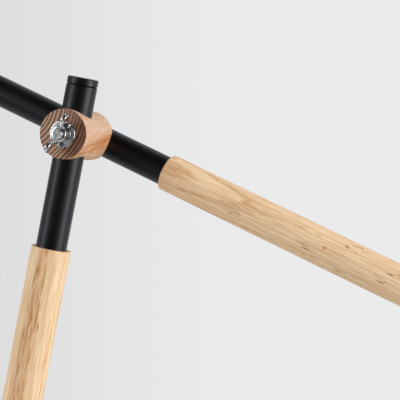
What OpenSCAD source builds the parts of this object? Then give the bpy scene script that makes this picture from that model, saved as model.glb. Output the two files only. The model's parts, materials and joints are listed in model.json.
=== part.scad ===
// Floor lamp. A weighted round base carries a black steel mast in ash sleeves. A second black tube
// crosses it as a tilting arm, held on a turned wooden block by one bolt and a wing nut. The arm
// has an ash grip at one end and a tilting lamp head at the other.
// The origin is the centre of the base on the floor, and the front is towards -Y.

/* [Base] */
// Diameter of the round base
base_d = 300; // [260:5:360]
// Height of the base above the floor
base_h = 22; // [20:1:32]
// Sheet thickness of the spun base cover
cover_wall = 1.5; // [1:0.1:2.5]
// Radius of the cover's rounded top edge
cover_edge_r = 8; // [4:0.5:12]
// Gap between the cover's rim and the floor
cover_lift = 1; // [0.5:0.1:2]
// Thickness of the floor pad
pad_t = 3; // [2:0.5:4]
// How far the pad's edge lies inside the base's edge
pad_inset = 4; // [3.5:0.5:10]
// How far the weight's edge lies inside the base's edge
weight_inset = 15; // [14:1:40]
// Diameter of the bolt that holds the mast down
base_bolt_d = 10; // [8:1:12]
// Thickness of the washer under that bolt's head
base_washer_t = 2; // [1.5:0.5:3]
// Height of that bolt's head
base_bolt_head_h = 6.4; // [5:0.1:7]
// Width of that bolt's head over its corners
base_bolt_head_d = 19.6; // [18:0.1:22]
// Diameter of the washer under that bolt's head
base_washer_d = 26; // [24:0.5:32]
// Room around the bolt's head and washer in the weight
recess_room = 1; // [0.5:0.5:3]

/* [Mast] */
// Height of the arm's tilt axis above the floor
joint_h = 1330; // [1150:10:1500]
// Outer diameter of the mast tube
mast_d = 25; // [22:0.5:28]
// Wall of the mast tube
mast_wall = 1.2; // [1:0.1:2]
// Outer diameter of the mast's ash sleeves
mast_sleeve_d = 32; // [30:0.5:38]
// Distance from the tilt axis down to the upper sleeve's top
mast_sleeve_drop = 93; // [60:1:160]
// Chamfer on the mast sleeves' edges
sleeve_edge = 0.4; // [0.3:0.1:1.8]
// Distance from the tilt axis up to the top of the mast cap
mast_rise = 46; // [38:1:80]
// Height of the collar between the two sleeves
collar_h = 14; // [8:1:24]
// Length of each of the collar's spigots
collar_spigot = 40; // [25:1:60]
// Wall of the collar's spigots
collar_wall = 3; // [2:0.5:5]
// Height of the cap on top of the mast
cap_h = 5.5; // [3:0.5:8]
// Height of the shadow groove under the cap
cap_groove_h = 0.8; // [0.4:0.1:1.5]
// Depth of the shadow groove under the cap
cap_groove_t = 0.8; // [0.4:0.1:1.1]
// Length of the plug below the cap
cap_plug = 15; // [8:1:20]

/* [Mast foot] */
// Diameter of the foot's flange
foot_d = 62; // [50:1:90]
// Height of the foot
foot_h = 32; // [26:1:45]
// Thickness of the flange's edge
foot_edge = 5; // [3:0.5:8]
// How far the foot stands out past the sleeve
foot_lip = 2; // [1:0.5:5]
// Thickness of the foot's floor under the tube
foot_floor = 6; // [4:0.5:9]
// Length of the threaded plug in the tube's foot
plug_len = 30; // [20:1:45]
// How far the bolt's end stays below the top of that plug
bolt_short = 4; // [0:1:10]

/* [Tilt joint] */
// Diameter of the wooden block
block_d = 40; // [38:1:50]
// Distance from the mast's axis to the block's front face
block_front = 20; // [18:0.5:30]
// Distance from the mast's axis to the split between the block's two halves
block_split = 19.5; // [17.5:0.5:22]
// Width of the split
split_gap = 0.1; // [0.1:0.05:0.4]
// Wood left between the split and the arm tube
saddle_wood = 9.9; // [7:0.1:16]
// Depth of the saddle that the arm tube lies in
saddle_depth = 6.5; // [3:0.5:9]
// Chamfer on the block's two outer edges
block_edge = 0.4; // [0.3:0.1:2]
// Clearance between the mast tube and its hole through the block
block_clear = 0.15; // [0.1:0.05:0.5]
// Diameter of the joint's bolt
bolt_d = 8; // [6:1:10]
// Diameter of the friction disc in the split
friction_d = 30; // [20:1:34]
// Depth of the friction disc's seat
friction_seat = 1; // [0.5:0.1:2]
// Diameter of the front washer
washer_d = 21.5; // [18:0.5:28]
// Thickness of the front washer
washer_t = 1.6; // [1:0.1:2.5]
// Diameter of the saddle piece under the bolt's head
bolt_saddle_d = 18; // [16:0.5:20]
// Thickness of the saddle piece behind the tube
bolt_saddle_t = 2.5; // [1.5:0.5:5]
// Height of the bolt's domed head
bolt_head_h = 4.5; // [3:0.1:6]
// How far the bolt's end stands out of the wing nut
bolt_proud = 2.6; // [1:0.1:8]
// Length of the square neck under the bolt's head
bolt_neck = 3; // [1.5:0.5:5]
// How far each side of that neck stands out past the shank
neck_proud = 0.3; // [0.2:0.1:0.5]
// Length of the chamfer on the bolt's end
bolt_point = 0.5; // [0.5:0.1:2]

/* [Wing nut] */
// Height of the wing nut's hub
hub_h = 8; // [6:0.5:12]
// Diameter of the hub at its seat
hub_d = 14.5; // [14:0.5:18]
// Diameter of the hub at its outer end
hub_top_d = 12.5; // [12:0.5:15]
// Span over the wing tips
wing_span = 35; // [30:0.5:44]
// Height of the wings above the nut's seat
wing_h = 15.5; // [12:0.5:20]
// Thickness of a wing
wing_t = 2.4; // [2:0.1:4]
// Radius of a wing's tip
wing_tip_r = 4.6; // [3.5:0.1:5]
// Radius of a wing's root
wing_root_r = 3; // [2.4:0.1:3.6]
// Distance from the nut's axis to the centre of a wing's root
wing_root = 7; // [5:0.1:8]
// Angle of the wings from the mast, clockwise from the front
wing_turn = 21; // [0:1:180]

/* [Arm] */
// Outer diameter of the arm tube
arm_d = 24; // [22:0.5:26]
// Wall of the arm tube
arm_wall = 1.2; // [1:0.1:2]
// Tilt of the arm, head end up
arm_tilt = 12.9; // [0:0.1:25]
// Length of tube from the tilt axis to the head end
arm_reach = 560; // [400:10:700]
// Outer diameter of the ash grip
grip_d = 30; // [28:0.5:34]
// Distance from the tilt axis to the grip's start
grip_start = 71.5; // [60:0.5:150]
// Length of the ash grip
grip_len = 400; // [200:10:600]
// Chamfer on the grip's edges
grip_edge = 1.2; // [0.3:0.1:1.8]
// Thickness of the cap on the grip's end
end_cap_t = 6; // [4:0.5:10]
// Rounding of that cap's edge
end_cap_edge = 1.5; // [0.5:0.1:3]
// Length of the plug on that cap
end_plug = 18; // [10:1:30]
// Outer diameter of the cord gland
gland_d = 11; // [9:0.5:14]
// Hole through the cord gland
gland_bore_d = 6.4; // [5:0.1:7]
// Diameter of the gland's outer flange
gland_flange_d = 16; // [15.5:0.5:22]
// Thickness of the gland's outer flange
gland_flange_t = 2.5; // [1.5:0.5:5]

/* [Head pivot] */
// Length of the plug in the arm's head end
tip_plug = 25; // [15:1:40]
// Thickness of the tip's shoulder
tip_shoulder = 5; // [3:0.5:8]
// Distance from the tip's shoulder to the pivot
tongue_len = 24; // [22:0.5:32]
// Thickness of the tongue
tongue_t = 8; // [6:0.5:12]
// Width of the tongue and of the yoke's cheeks
tongue_w = 16; // [14:0.5:18]
// Thickness of one cheek of the yoke
cheek_t = 4; // [3:0.5:6]
// Sliding gap between the tongue and a cheek
cheek_gap = 0.1; // [0.1:0.05:0.4]
// Diameter of the pivot's pin
pin_d = 6; // [5:0.5:8]
// Height of the pin's domed head
pin_head_h = 3; // [2:0.5:5]
// Diameter of the pin's domed head
pin_head_d = 13; // [10:0.5:15]
// Diameter of the pivot's thumb nut
thumb_d = 20; // [16:1:26]
// Thickness of the thumb nut
thumb_t = 9; // [6:0.5:14]
// Radius of a flute in the thumb nut's rim
flute_r = 1.4; // [1:0.1:1.8]
// Depth of a flute in the thumb nut's rim
flute_depth = 0.8; // [0.4:0.1:1]
// How far the pin's end stands out of the thumb nut
pin_proud = 1.5; // [0.5:0.5:4]
// Distance from the pivot down to the yoke's base
yoke_drop = 36; // [34:1:50]
// Diameter of the yoke's base
yoke_d = 40; // [34:1:44]
// Thickness of the yoke's base
yoke_base_t = 6; // [4:0.5:10]

/* [Lamp head] */
// Diameter of the wooden neck
neck_d = 44; // [42:0.5:54]
// Length of the wooden neck
neck_len = 54; // [46:1:70]
// Wood above the lampholder
neck_floor = 10; // [6:0.5:14]
// Chamfer on the neck's edges
neck_edge = 1.5; // [0.5:0.1:2.5]
// Diameter of the threaded nipple
nipple_d = 10; // [8:0.5:12]
// Hole through the nipple
nipple_bore_d = 7; // [4:0.5:7]
// How far the nipple goes into the lampholder
nipple_grip = 8; // [5:0.5:11]
// Outer diameter of the lampholder
holder_d = 36; // [34:0.5:38]
// Length of the lampholder below the shade's top
holder_skirt = 18; // [14:0.5:26]
// Wall of the brass screw shell
shell_wall = 0.6; // [0.4:0.1:1]
// How far the screw shell stays behind the lampholder's mouth
shell_back = 2; // [1:0.5:5]
// Height of the centre contact
contact_h = 2; // [1:0.1:3]
// Diameter of the centre contact, and of the bulb's own contact
contact_d = 9; // [7:0.5:11]
// Diameter of the shade at its mouth
shade_d = 250; // [200:5:300]
// Height of the shade
shade_h = 130; // [110:5:160]
// Diameter of the flat on the shade's top
shade_top_d = 60; // [56:1:80]
// Sheet thickness of the shade
shade_wall = 0.8; // [0.6:0.1:2]
// Radius of the rolled bead on the shade's mouth
bead_r = 1.6; // [1.2:0.1:3]
// Slope of the shade's wall at its mouth
mouth_slope = 78; // [60:1:88]
// Outer diameter of the ring that holds the shade
ring_d = 54; // [46:1:56]
// Thickness of that ring
ring_t = 6; // [4:0.5:10]

/* [Bulb] */
// Diameter of the screw cap
bulb_cap_d = 26.4; // [26:0.1:26.4]
// Gap between the lampholder's mouth and the bulb's glass
bulb_stand = 1; // [0.5:0.1:3]
// Length of the bulb's cap, with its contact
bulb_cap_len = 27; // [25:0.5:30]
// Height of the bulb's own contact
bulb_contact_h = 1.5; // [1:0.1:3]
// Distance from the bulb's contact to the start of its thread
bulb_shoulder = 7; // [5:0.5:10]
// Diameter of the bulb's globe
globe_d = 60; // [45:1:64]
// Length of the bulb, from contact to tip
bulb_len = 106; // [95:1:112]
// Wall of the bulb
glass_wall = 1; // [0.7:0.1:1.5]
// Angle above the globe's middle at which the bulb's neck meets it
globe_join = 30; // [20:1:50]

/* [Switch] */
// Diameter of the switch's shaft
shaft_d = 5; // [4:0.5:6]
// How far the shaft goes into the lampholder
shaft_grip = 8; // [5:0.5:9]
// Wall between the switch's shaft and the bulb's socket
switch_wall = 14; // [6:0.5:17]
// Diameter of the switch's knob
knob_d = 16; // [12:0.5:20]
// Thickness of the knob's disc
knob_t = 4; // [3:0.5:6]
// Height of the knob's finger bar
bar_h = 8; // [5:0.5:12]
// Thickness of the knob's finger bar
bar_t = 5; // [3:0.5:7]
// Gap between the knob and the neck
knob_gap = 0.4; // [0.3:0.1:1]

/* [Fits] */
// Radial clearance of a piece fixed in another
fit_gap = 0.05; // [0.02:0.01:0.1]
// Radial clearance of a piece that turns on a shaft
run_gap = 0.08; // [0.04:0.01:0.1]
// Radial clearance of the bulb's cap in the screw shell
thread_gap = 0.15; // [0.1:0.05:0.3]
// Rounding of the small turned edges
small_edge = 1; // [0.3:0.1:1.4]
// Radial clearance of a bolt through a plain hole
bolt_clear = 0.3; // [0.2:0.05:0.6]

/* [Hidden] */
$fn = 96;

// Small amount by which a cutting shape passes the face that it cuts
past = 1;

base_r = base_d / 2;
weight_top = base_h - cover_wall;
recess_h = base_bolt_head_h + base_washer_t + recess_room;
recess_r = base_washer_d / 2 + recess_room;
base_bolt_r = base_bolt_d / 2;
washer_z = pad_t + recess_h - base_washer_t;

mast_r = mast_d / 2;
mast_bore_r = mast_r - mast_wall;
mast_sleeve_r = mast_sleeve_d / 2;
mast_plug_r = mast_bore_r - fit_gap;
tube_z0 = base_h + foot_floor;
sleeve_z0 = base_h + foot_h;
sleeve_z1 = joint_h - mast_sleeve_drop;
collar_z0 = (sleeve_z0 + sleeve_z1 - collar_h) / 2;
collar_z1 = collar_z0 + collar_h;
tube_z1 = joint_h + mast_rise - cap_h - cap_groove_h;

foot_r = foot_d / 2;
foot_top_r = mast_sleeve_r + foot_lip;
foot_cove = min(foot_r - foot_top_r, foot_h - foot_edge);

block_r = block_d / 2;
bolt_r = bolt_d / 2;
neck_half = bolt_r + neck_proud;
neck_hole = neck_half + fit_gap;
arm_r = arm_d / 2;
arm_bore_r = arm_r - arm_wall;
arm_plug_r = arm_bore_r - fit_gap;
grip_r = grip_d / 2;
arm_y = block_split + saddle_wood + arm_r;
block_rear = arm_y - arm_r + saddle_depth;
bolt_head_y = arm_y + arm_r + bolt_saddle_t;
nut_seat = block_front + washer_t;
bolt_end = nut_seat + hub_h + bolt_proud;
arm_butt = grip_start + grip_len;

pivot_x = arm_reach + tip_shoulder + tongue_len;
pivot = [-pivot_x * cos(arm_tilt), arm_y, joint_h + pivot_x * sin(arm_tilt)];
pin_r = pin_d / 2;
cheek_y0 = tongue_t / 2 + cheek_gap;
cheek_y1 = cheek_y0 + cheek_t;

// Heights in the head are measured down from the pivot
neck_z0 = yoke_drop + yoke_base_t;
neck_z1 = neck_z0 + neck_len;
holder_z0 = neck_z0 + neck_floor;
holder_z1 = neck_z1 + shade_wall + holder_skirt;
bulb_z0 = holder_z1 + bulb_stand - bulb_cap_len;
cup_z0 = bulb_z0 - fit_gap - contact_h;
holder_r = holder_d / 2;
bulb_cap_r = bulb_cap_d / 2;
shell_r = bulb_cap_r + thread_gap;
cup_r = shell_r + shell_wall + fit_gap;
switch_z = cup_z0 - shaft_d / 2 - switch_wall;
neck_r = neck_d / 2;
cap_z1 = bulb_z0 + bulb_cap_len;
globe_r = globe_d / 2;
globe_z = bulb_z0 + bulb_len - globe_r;
shade_r = shade_d / 2;
shade_top_r = shade_top_d / 2;
shade_out = (shade_r - shade_top_r) / sin(mouth_slope);
shade_down = shade_h / (1 - cos(mouth_slope));

ash = "burlywood";
coat = "#1c1c1e";

// A disc with its upper edge rounded
module rounded_disc(r, h, edge) {
    rotate_extrude() {
        square([r - edge, h]);
        square([r, h - edge]);
        translate([r - edge, h - edge]) intersection() {
            circle(edge);
            square(edge);
        }
    }
}

// A straight tube standing on z0
module tube(r_out, r_in, z0, z1) {
    translate([0, 0, z0]) difference() {
        cylinder(r = r_out, h = z1 - z0);
        translate([0, 0, -past]) cylinder(r = r_in, h = z1 - z0 + 2 * past);
    }
}

// A turned sleeve with its outer edges chamfered
module sleeve(r_out, r_in, z0, z1, edge) {
    translate([0, 0, z0]) rotate_extrude() polygon([
        [r_in, 0], [r_out - edge, 0], [r_out, edge],
        [r_out, z1 - z0 - edge], [r_out - edge, z1 - z0], [r_in, z1 - z0]
    ]);
}

// A cylinder along Y from y0 to y1
module rod_y(r, y0, y1) {
    translate([0, y0, 0]) rotate([-90, 0, 0]) cylinder(r = r, h = y1 - y0);
}

// A low dome standing on z = 0
module dome(r, h) {
    ball = (r * r + h * h) / (2 * h);
    intersection() {
        translate([0, 0, h - ball]) sphere(ball);
        cylinder(r = r + past, h = h + past);
    }
}

// Two circles and the straight band that touches both
module belt(c1, r1, c2, r2) {
    gap = c2 - c1;
    lean = atan2(gap[1], gap[0]);
    turn = acos((r1 - r2) / norm(gap));
    translate(c1) circle(r1);
    translate(c2) circle(r2);
    polygon([
        c1 + r1 * [cos(lean + turn), sin(lean + turn)],
        c1 + r1 * [cos(lean - turn), sin(lean - turn)],
        c2 + r2 * [cos(lean - turn), sin(lean - turn)],
        c2 + r2 * [cos(lean + turn), sin(lean + turn)]
    ]);
}

// Frames: the tilt joint, the arm with its tube along Z towards the grip, and the lamp head
module at_joint() {
    translate([0, 0, joint_h]) children();
}

module along_arm() {
    translate([0, arm_y, joint_h]) rotate([0, 90 + arm_tilt, 0]) children();
}

module at_head() {
    translate(pivot) children();
}

module base_pad() {
    color("dimgray") cylinder(r = base_r - pad_inset, h = pad_t);
}

module base_weight() {
    color("slategray") difference() {
        translate([0, 0, pad_t]) cylinder(r = base_r - weight_inset, h = weight_top - pad_t);
        cylinder(r = base_bolt_r + bolt_clear, h = base_h);
        cylinder(r = recess_r, h = pad_t + recess_h);
    }
}

module base_cover() {
    color(coat) difference() {
        translate([0, 0, cover_lift]) rounded_disc(base_r, base_h - cover_lift, cover_edge_r);
        rounded_disc(base_r - cover_wall, weight_top, cover_edge_r - cover_wall);
        cylinder(r = base_bolt_r + bolt_clear, h = base_h + past);
    }
}

module base_washer() {
    color("silver") tube(base_washer_d / 2, base_bolt_r + bolt_clear, washer_z, washer_z + base_washer_t);
}

module base_bolt() {
    color("silver") {
        translate([0, 0, washer_z - base_bolt_head_h])
            cylinder(d = base_bolt_head_d, h = base_bolt_head_h, $fn = 6);
        translate([0, 0, washer_z]) cylinder(r = base_bolt_r, h = tube_z0 + plug_len - bolt_short - washer_z);
    }
}

module mast_foot() {
    color(coat) difference() {
        translate([0, 0, base_h]) {
            cylinder(r = foot_r, h = foot_edge);
            cylinder(r = foot_top_r, h = foot_h);
            translate([0, 0, foot_edge]) rotate_extrude() difference() {
                translate([foot_top_r - past, 0]) square([foot_cove + past, foot_cove]);
                translate([foot_top_r + foot_cove, foot_cove]) circle(foot_cove);
            }
        }
        translate([0, 0, tube_z0]) cylinder(r = mast_r + fit_gap, h = foot_h);
        translate([0, 0, base_h - past]) cylinder(r = base_bolt_r + bolt_clear, h = foot_h);
    }
}

module foot_plug() {
    color("silver") tube(mast_plug_r, base_bolt_r + fit_gap, tube_z0, tube_z0 + plug_len);
}

module mast_lower_tube() {
    color(coat) tube(mast_r, mast_bore_r, tube_z0, collar_z0);
}

module mast_lower_sleeve() {
    color(ash) sleeve(mast_sleeve_r, mast_r + fit_gap, sleeve_z0, collar_z0, sleeve_edge);
}

module mast_collar() {
    color(coat) difference() {
        union() {
            translate([0, 0, collar_z0]) cylinder(r = mast_sleeve_r, h = collar_h);
            translate([0, 0, collar_z0 - collar_spigot])
                cylinder(r = mast_plug_r, h = collar_h + 2 * collar_spigot);
        }
        translate([0, 0, collar_z0 - collar_spigot - past])
            cylinder(r = mast_plug_r - collar_wall, h = collar_h + 2 * (collar_spigot + past));
    }
}

module mast_upper_tube() {
    color(coat) difference() {
        tube(mast_r, mast_bore_r, collar_z1, tube_z1);
        at_joint() rod_y(bolt_r + run_gap, -mast_d, mast_d);
    }
}

module mast_upper_sleeve() {
    color(ash) sleeve(mast_sleeve_r, mast_r + fit_gap, collar_z1, sleeve_z1, sleeve_edge);
}

module mast_cap() {
    color(coat) translate([0, 0, tube_z1]) {
        translate([0, 0, cap_groove_h]) rounded_disc(mast_r, cap_h, small_edge);
        cylinder(r = mast_r - cap_groove_t, h = cap_groove_h);
        translate([0, 0, -cap_plug]) cylinder(r = mast_plug_r, h = cap_plug);
    }
}

module block_front_half() {
    len = block_front + block_split;
    color("peru") at_joint() difference() {
        translate([0, -block_front, 0]) rotate([-90, 0, 0]) rotate_extrude() polygon([
            [0, 0], [block_r - block_edge, 0], [block_r, block_edge], [block_r, len], [0, len]
        ]);
        translate([0, 0, -block_d]) cylinder(r = mast_r + block_clear, h = 2 * block_d);
        rod_y(bolt_r + run_gap, -block_front - past, block_split + past);
        rod_y(friction_d / 2 + fit_gap, block_split - friction_seat, block_split + past);
    }
}

module friction_disc() {
    color("saddlebrown") at_joint() difference() {
        rod_y(friction_d / 2, block_split - friction_seat, block_split + split_gap);
        rod_y(bolt_r + bolt_clear, 0, block_split + past);
    }
}

module joint_washer() {
    color("silver") at_joint() difference() {
        rod_y(washer_d / 2, -nut_seat, -block_front);
        rod_y(bolt_r + bolt_clear, -nut_seat - past, 0);
    }
}

module block_rear_half() {
    y0 = block_split + split_gap;
    len = block_rear - y0;
    color("peru") difference() {
        at_joint() translate([0, y0, 0]) rotate([-90, 0, 0]) rotate_extrude() polygon([
            [0, 0], [block_r, 0], [block_r, len - block_edge], [block_r - block_edge, len], [0, len]
        ]);
        along_arm() cylinder(r = arm_r + fit_gap, h = 2 * block_d, center = true);
        at_joint() rod_y(bolt_r + fit_gap, 0, arm_y);
    }
}

module joint_bolt() {
    color("silver") {
        at_joint() translate([0, -bolt_end, 0]) rotate([-90, 0, 0]) {
            cylinder(r1 = bolt_r - bolt_point, r2 = bolt_r, h = bolt_point);
            translate([0, 0, bolt_point]) cylinder(r = bolt_r, h = bolt_end + bolt_head_y - bolt_point);
        }
        at_joint() translate([0, bolt_head_y, 0]) rotate([-90, 0, 0]) dome(bolt_saddle_d / 2, bolt_head_h);
        along_arm() translate([-neck_half, bolt_head_y - arm_y - bolt_neck, -neck_half])
            cube([2 * neck_half, bolt_neck, 2 * neck_half]);
    }
}

module bolt_saddle() {
    color("silver") difference() {
        at_joint() rod_y(bolt_saddle_d / 2, arm_y, bolt_head_y);
        along_arm() cylinder(r = arm_r + fit_gap, h = 2 * block_d, center = true);
        along_arm() translate([-neck_hole, 0, -neck_hole]) cube([2 * neck_hole, 2 * arm_d, 2 * neck_hole]);
    }
}

module arm_tube() {
    color(coat) difference() {
        along_arm() tube(arm_r, arm_bore_r, -arm_reach, arm_butt);
        at_joint() rod_y(bolt_r + fit_gap, 0, arm_y);
        along_arm() translate([-neck_hole, 0, -neck_hole]) cube([2 * neck_hole, arm_d, 2 * neck_hole]);
    }
}

module arm_grip() {
    color(ash) along_arm() sleeve(grip_r, arm_r + fit_gap, grip_start, arm_butt, grip_edge);
}

module arm_end_cap() {
    color(coat) along_arm() translate([0, 0, arm_butt]) difference() {
        union() {
            rounded_disc(grip_r, end_cap_t, end_cap_edge);
            translate([0, 0, -end_plug]) cylinder(r = arm_plug_r, h = end_plug);
        }
        translate([0, 0, -end_plug - past])
            cylinder(r = gland_d / 2 + fit_gap, h = end_plug + end_cap_t + 2 * past);
    }
}

module cord_gland() {
    color("dimgray") along_arm() translate([0, 0, arm_butt]) difference() {
        union() {
            cylinder(r = gland_d / 2, h = end_cap_t);
            translate([0, 0, end_cap_t]) rounded_disc(gland_flange_d / 2, gland_flange_t, small_edge);
        }
        translate([0, 0, -past])
            cylinder(r = gland_bore_d / 2, h = end_cap_t + gland_flange_t + 2 * past);
    }
}

module arm_tip() {
    color(coat) difference() {
        along_arm() {
            translate([0, 0, -arm_reach]) cylinder(r = arm_plug_r, h = tip_plug);
            translate([0, 0, -arm_reach - tip_shoulder]) cylinder(r = arm_r, h = tip_shoulder);
            translate([-tongue_w / 2, -tongue_t / 2, -pivot_x])
                cube([tongue_w, tongue_t, tongue_len + past]);
            translate([0, 0, -pivot_x]) rod_y(tongue_w / 2, -tongue_t / 2, tongue_t / 2);
        }
        at_head() rod_y(pin_r + run_gap, -tongue_t, tongue_t);
    }
}

// Wings are drawn in the plane of the nut's axis: first coordinate outwards, second along the axis
module wing_nut() {
    root = [wing_root, hub_h / 2];
    tip = [wing_span / 2 - wing_tip_r, wing_h - wing_tip_r];
    color("silver") at_joint() translate([0, -nut_seat, 0]) rotate([90, wing_turn - 90, 0]) difference() {
        union() {
            cylinder(r1 = hub_d / 2, r2 = hub_top_d / 2, h = hub_h);
            for (side = [0, 180]) rotate([90, 0, side]) translate([0, 0, -wing_t / 2])
                linear_extrude(wing_t) belt(root, wing_root_r, tip, wing_tip_r);
        }
        translate([0, 0, -past]) cylinder(r = bolt_r + run_gap, h = wing_h + 2 * past);
    }
}

module head_yoke() {
    color(coat) at_head() difference() {
        union() {
            for (side = [-1, 1]) translate([0, side * (cheek_y0 + cheek_y1) / 2, 0]) {
                rod_y(tongue_w / 2, -cheek_t / 2, cheek_t / 2);
                translate([-tongue_w / 2, -cheek_t / 2, -yoke_drop - past])
                    cube([tongue_w, cheek_t, yoke_drop + past]);
            }
            translate([0, 0, -neck_z0]) rounded_disc(yoke_d / 2, yoke_base_t, small_edge);
        }
        rod_y(pin_r + fit_gap, -cheek_y1 - past, cheek_y1 + past);
        translate([0, 0, -neck_z0 - past]) cylinder(r = nipple_d / 2 + fit_gap, h = yoke_base_t + 2 * past);
    }
}

module pivot_pin() {
    color("silver") at_head() {
        rod_y(pin_r, -cheek_y1 - thumb_t - pin_proud, cheek_y1);
        translate([0, cheek_y1, 0]) rotate([-90, 0, 0]) dome(pin_head_d / 2, pin_head_h);
    }
}

module head_neck() {
    color(ash) at_head() difference() {
        sleeve(neck_r, 0, -neck_z1, -neck_z0, neck_edge);
        translate([0, 0, -neck_z1 - past]) cylinder(r = holder_r + fit_gap, h = neck_len - neck_floor + past);
        translate([0, 0, -neck_z1]) cylinder(r = nipple_d / 2 + fit_gap, h = neck_len + past);
        translate([0, 0, -switch_z]) rod_y(shaft_d / 2 + bolt_clear, -neck_d, -holder_r / 2);
    }
}

module head_nipple() {
    color("silver") at_head() tube(nipple_d / 2, nipple_bore_d / 2, -holder_z0 - nipple_grip, -yoke_drop);
}

module lampholder() {
    color("#202020") at_head() difference() {
        translate([0, 0, -holder_z1]) cylinder(r = holder_r, h = holder_z1 - holder_z0);
        translate([0, 0, -holder_z1 - past]) cylinder(r = cup_r, h = holder_z1 - cup_z0 + past);
        translate([0, 0, -holder_z0 - nipple_grip])
            cylinder(r = nipple_d / 2 + fit_gap, h = nipple_grip + past);
        translate([0, 0, -switch_z])
            rod_y(shaft_d / 2 + run_gap, -holder_d, -holder_r + shaft_grip + knob_gap);
    }
}

module screw_shell() {
    color("gold") at_head() tube(shell_r + shell_wall, shell_r, -holder_z1 + shell_back, -cup_z0 - contact_h);
}

module centre_contact() {
    color("gold") at_head() translate([0, 0, -cup_z0]) rotate([180, 0, 0]) dome(contact_d / 2, contact_h);
}

// Places on the shade's outer curve, and on the inner one a wall's thickness inside it
function shade_point(turn, inset) =
    let (slope = [shade_down * sin(turn), -shade_out * cos(turn)])
    [shade_top_r + shade_out * sin(turn), -shade_down * (1 - cos(turn))]
        - inset * [slope[0], -slope[1]] / norm(slope);

module shade() {
    steps = 24;
    turns = [for (i = [0:steps]) mouth_slope * i / steps];
    outer = [for (turn = turns) shade_point(turn, 0)];
    inner = [for (i = [steps:-1:0]) shade_point(turns[i], shade_wall)];
    hole = holder_r + bolt_clear;
    color(coat) at_head() translate([0, 0, -neck_z1]) {
        rotate_extrude() polygon(concat([[hole, 0]], outer, inner, [[hole, -shade_wall]]));
        rotate_extrude() translate([shade_r - shade_wall / 2, -shade_h]) circle(bead_r);
    }
}

module shade_ring() {
    ring_z = -neck_z1 - shade_wall;
    color("#202020") at_head() sleeve(ring_d / 2, holder_r + fit_gap, ring_z - ring_t, ring_z, small_edge);
}

module bulb_cap() {
    color("lightgray") at_head() translate([0, 0, -bulb_z0]) rotate([180, 0, 0]) rotate_extrude() polygon([
        [0, 0], [contact_d / 2, 0], [contact_d / 2, bulb_contact_h], [bulb_cap_r, bulb_shoulder],
        [bulb_cap_r, bulb_cap_len], [0, bulb_cap_len]
    ]);
}

// The bulb's outer form, drawn in by inset for its hollow
module bulb_form(inset) {
    ball = globe_r - inset;
    join_z = globe_z - ball * sin(globe_join);
    translate([0, 0, -globe_z]) sphere(ball);
    translate([0, 0, -join_z])
        cylinder(r1 = ball * cos(globe_join), r2 = bulb_cap_r - inset, h = join_z - cap_z1);
}

module bulb_glass() {
    color("white") at_head() difference() {
        bulb_form(0);
        bulb_form(glass_wall);
        translate([0, 0, -cap_z1 - past]) cylinder(r = bulb_cap_r - glass_wall, h = 2 * past);
    }
}

module thumb_nut() {
    flutes = 16;
    color("silver") at_head() translate([0, -cheek_y1, 0]) rotate([90, 0, 0]) difference() {
        sleeve(thumb_d / 2, pin_r + run_gap, 0, thumb_t, small_edge);
        for (i = [0:flutes - 1]) rotate([0, 0, 360 * i / flutes])
            translate([thumb_d / 2 + flute_r - flute_depth, 0, -past])
                cylinder(r = flute_r, h = thumb_t + 2 * past);
    }
}

module switch_knob() {
    color("#202020") at_head() translate([0, 0, -switch_z]) {
        rod_y(shaft_d / 2, -neck_r - knob_gap - knob_t, -holder_r + shaft_grip);
        translate([0, -neck_r - knob_gap, 0]) rotate([90, 0, 0]) {
            rounded_disc(knob_d / 2, knob_t, small_edge);
            translate([-bar_t / 2, small_edge - knob_d / 2, knob_t - past])
                cube([bar_t, knob_d - 2 * small_edge, bar_h + past]);
        }
    }
}

base_pad();
base_weight();
base_cover();
base_washer();
base_bolt();
mast_foot();
foot_plug();
mast_lower_tube();
mast_lower_sleeve();
mast_collar();
mast_upper_tube();
mast_upper_sleeve();
mast_cap();
block_front_half();
friction_disc();
joint_washer();
block_rear_half();
joint_bolt();
bolt_saddle();
arm_tube();
arm_grip();
arm_end_cap();
cord_gland();
arm_tip();
wing_nut();
head_yoke();
pivot_pin();
head_neck();
head_nipple();
lampholder();
screw_shell();
centre_contact();
shade();
shade_ring();
bulb_cap();
bulb_glass();
thumb_nut();
switch_knob();
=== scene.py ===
import json
import math

import bmesh
import bpy
from mathutils import Matrix, Vector


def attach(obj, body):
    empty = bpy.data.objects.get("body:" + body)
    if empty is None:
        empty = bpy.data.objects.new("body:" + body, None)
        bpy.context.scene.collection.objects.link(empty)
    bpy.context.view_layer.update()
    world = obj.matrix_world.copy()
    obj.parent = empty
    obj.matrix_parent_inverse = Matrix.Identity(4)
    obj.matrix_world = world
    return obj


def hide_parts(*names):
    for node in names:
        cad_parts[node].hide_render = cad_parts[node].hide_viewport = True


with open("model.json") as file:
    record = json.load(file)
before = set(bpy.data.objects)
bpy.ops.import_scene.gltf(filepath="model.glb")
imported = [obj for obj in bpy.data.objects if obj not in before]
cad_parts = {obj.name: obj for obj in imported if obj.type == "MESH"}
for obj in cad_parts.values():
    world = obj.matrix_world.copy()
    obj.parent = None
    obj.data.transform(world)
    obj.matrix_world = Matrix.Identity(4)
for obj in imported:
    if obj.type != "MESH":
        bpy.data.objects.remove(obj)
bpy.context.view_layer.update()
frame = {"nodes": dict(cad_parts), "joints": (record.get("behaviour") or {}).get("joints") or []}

# Floor pad. A disc of black foam rubber, die-cut and glued under the weight, so that the base stands
# still and spares the floor. Only its soft edge shows, as a line under the cover.
mm = 0.001


def seen(red, green, blue):
    """A colour as the eye sees it, 0 to 255, turned into the linear values that a shader takes."""
    return [((c / 255 + 0.055) / 1.055) ** 2.4 for c in (red, green, blue)] + [1.0]


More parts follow.
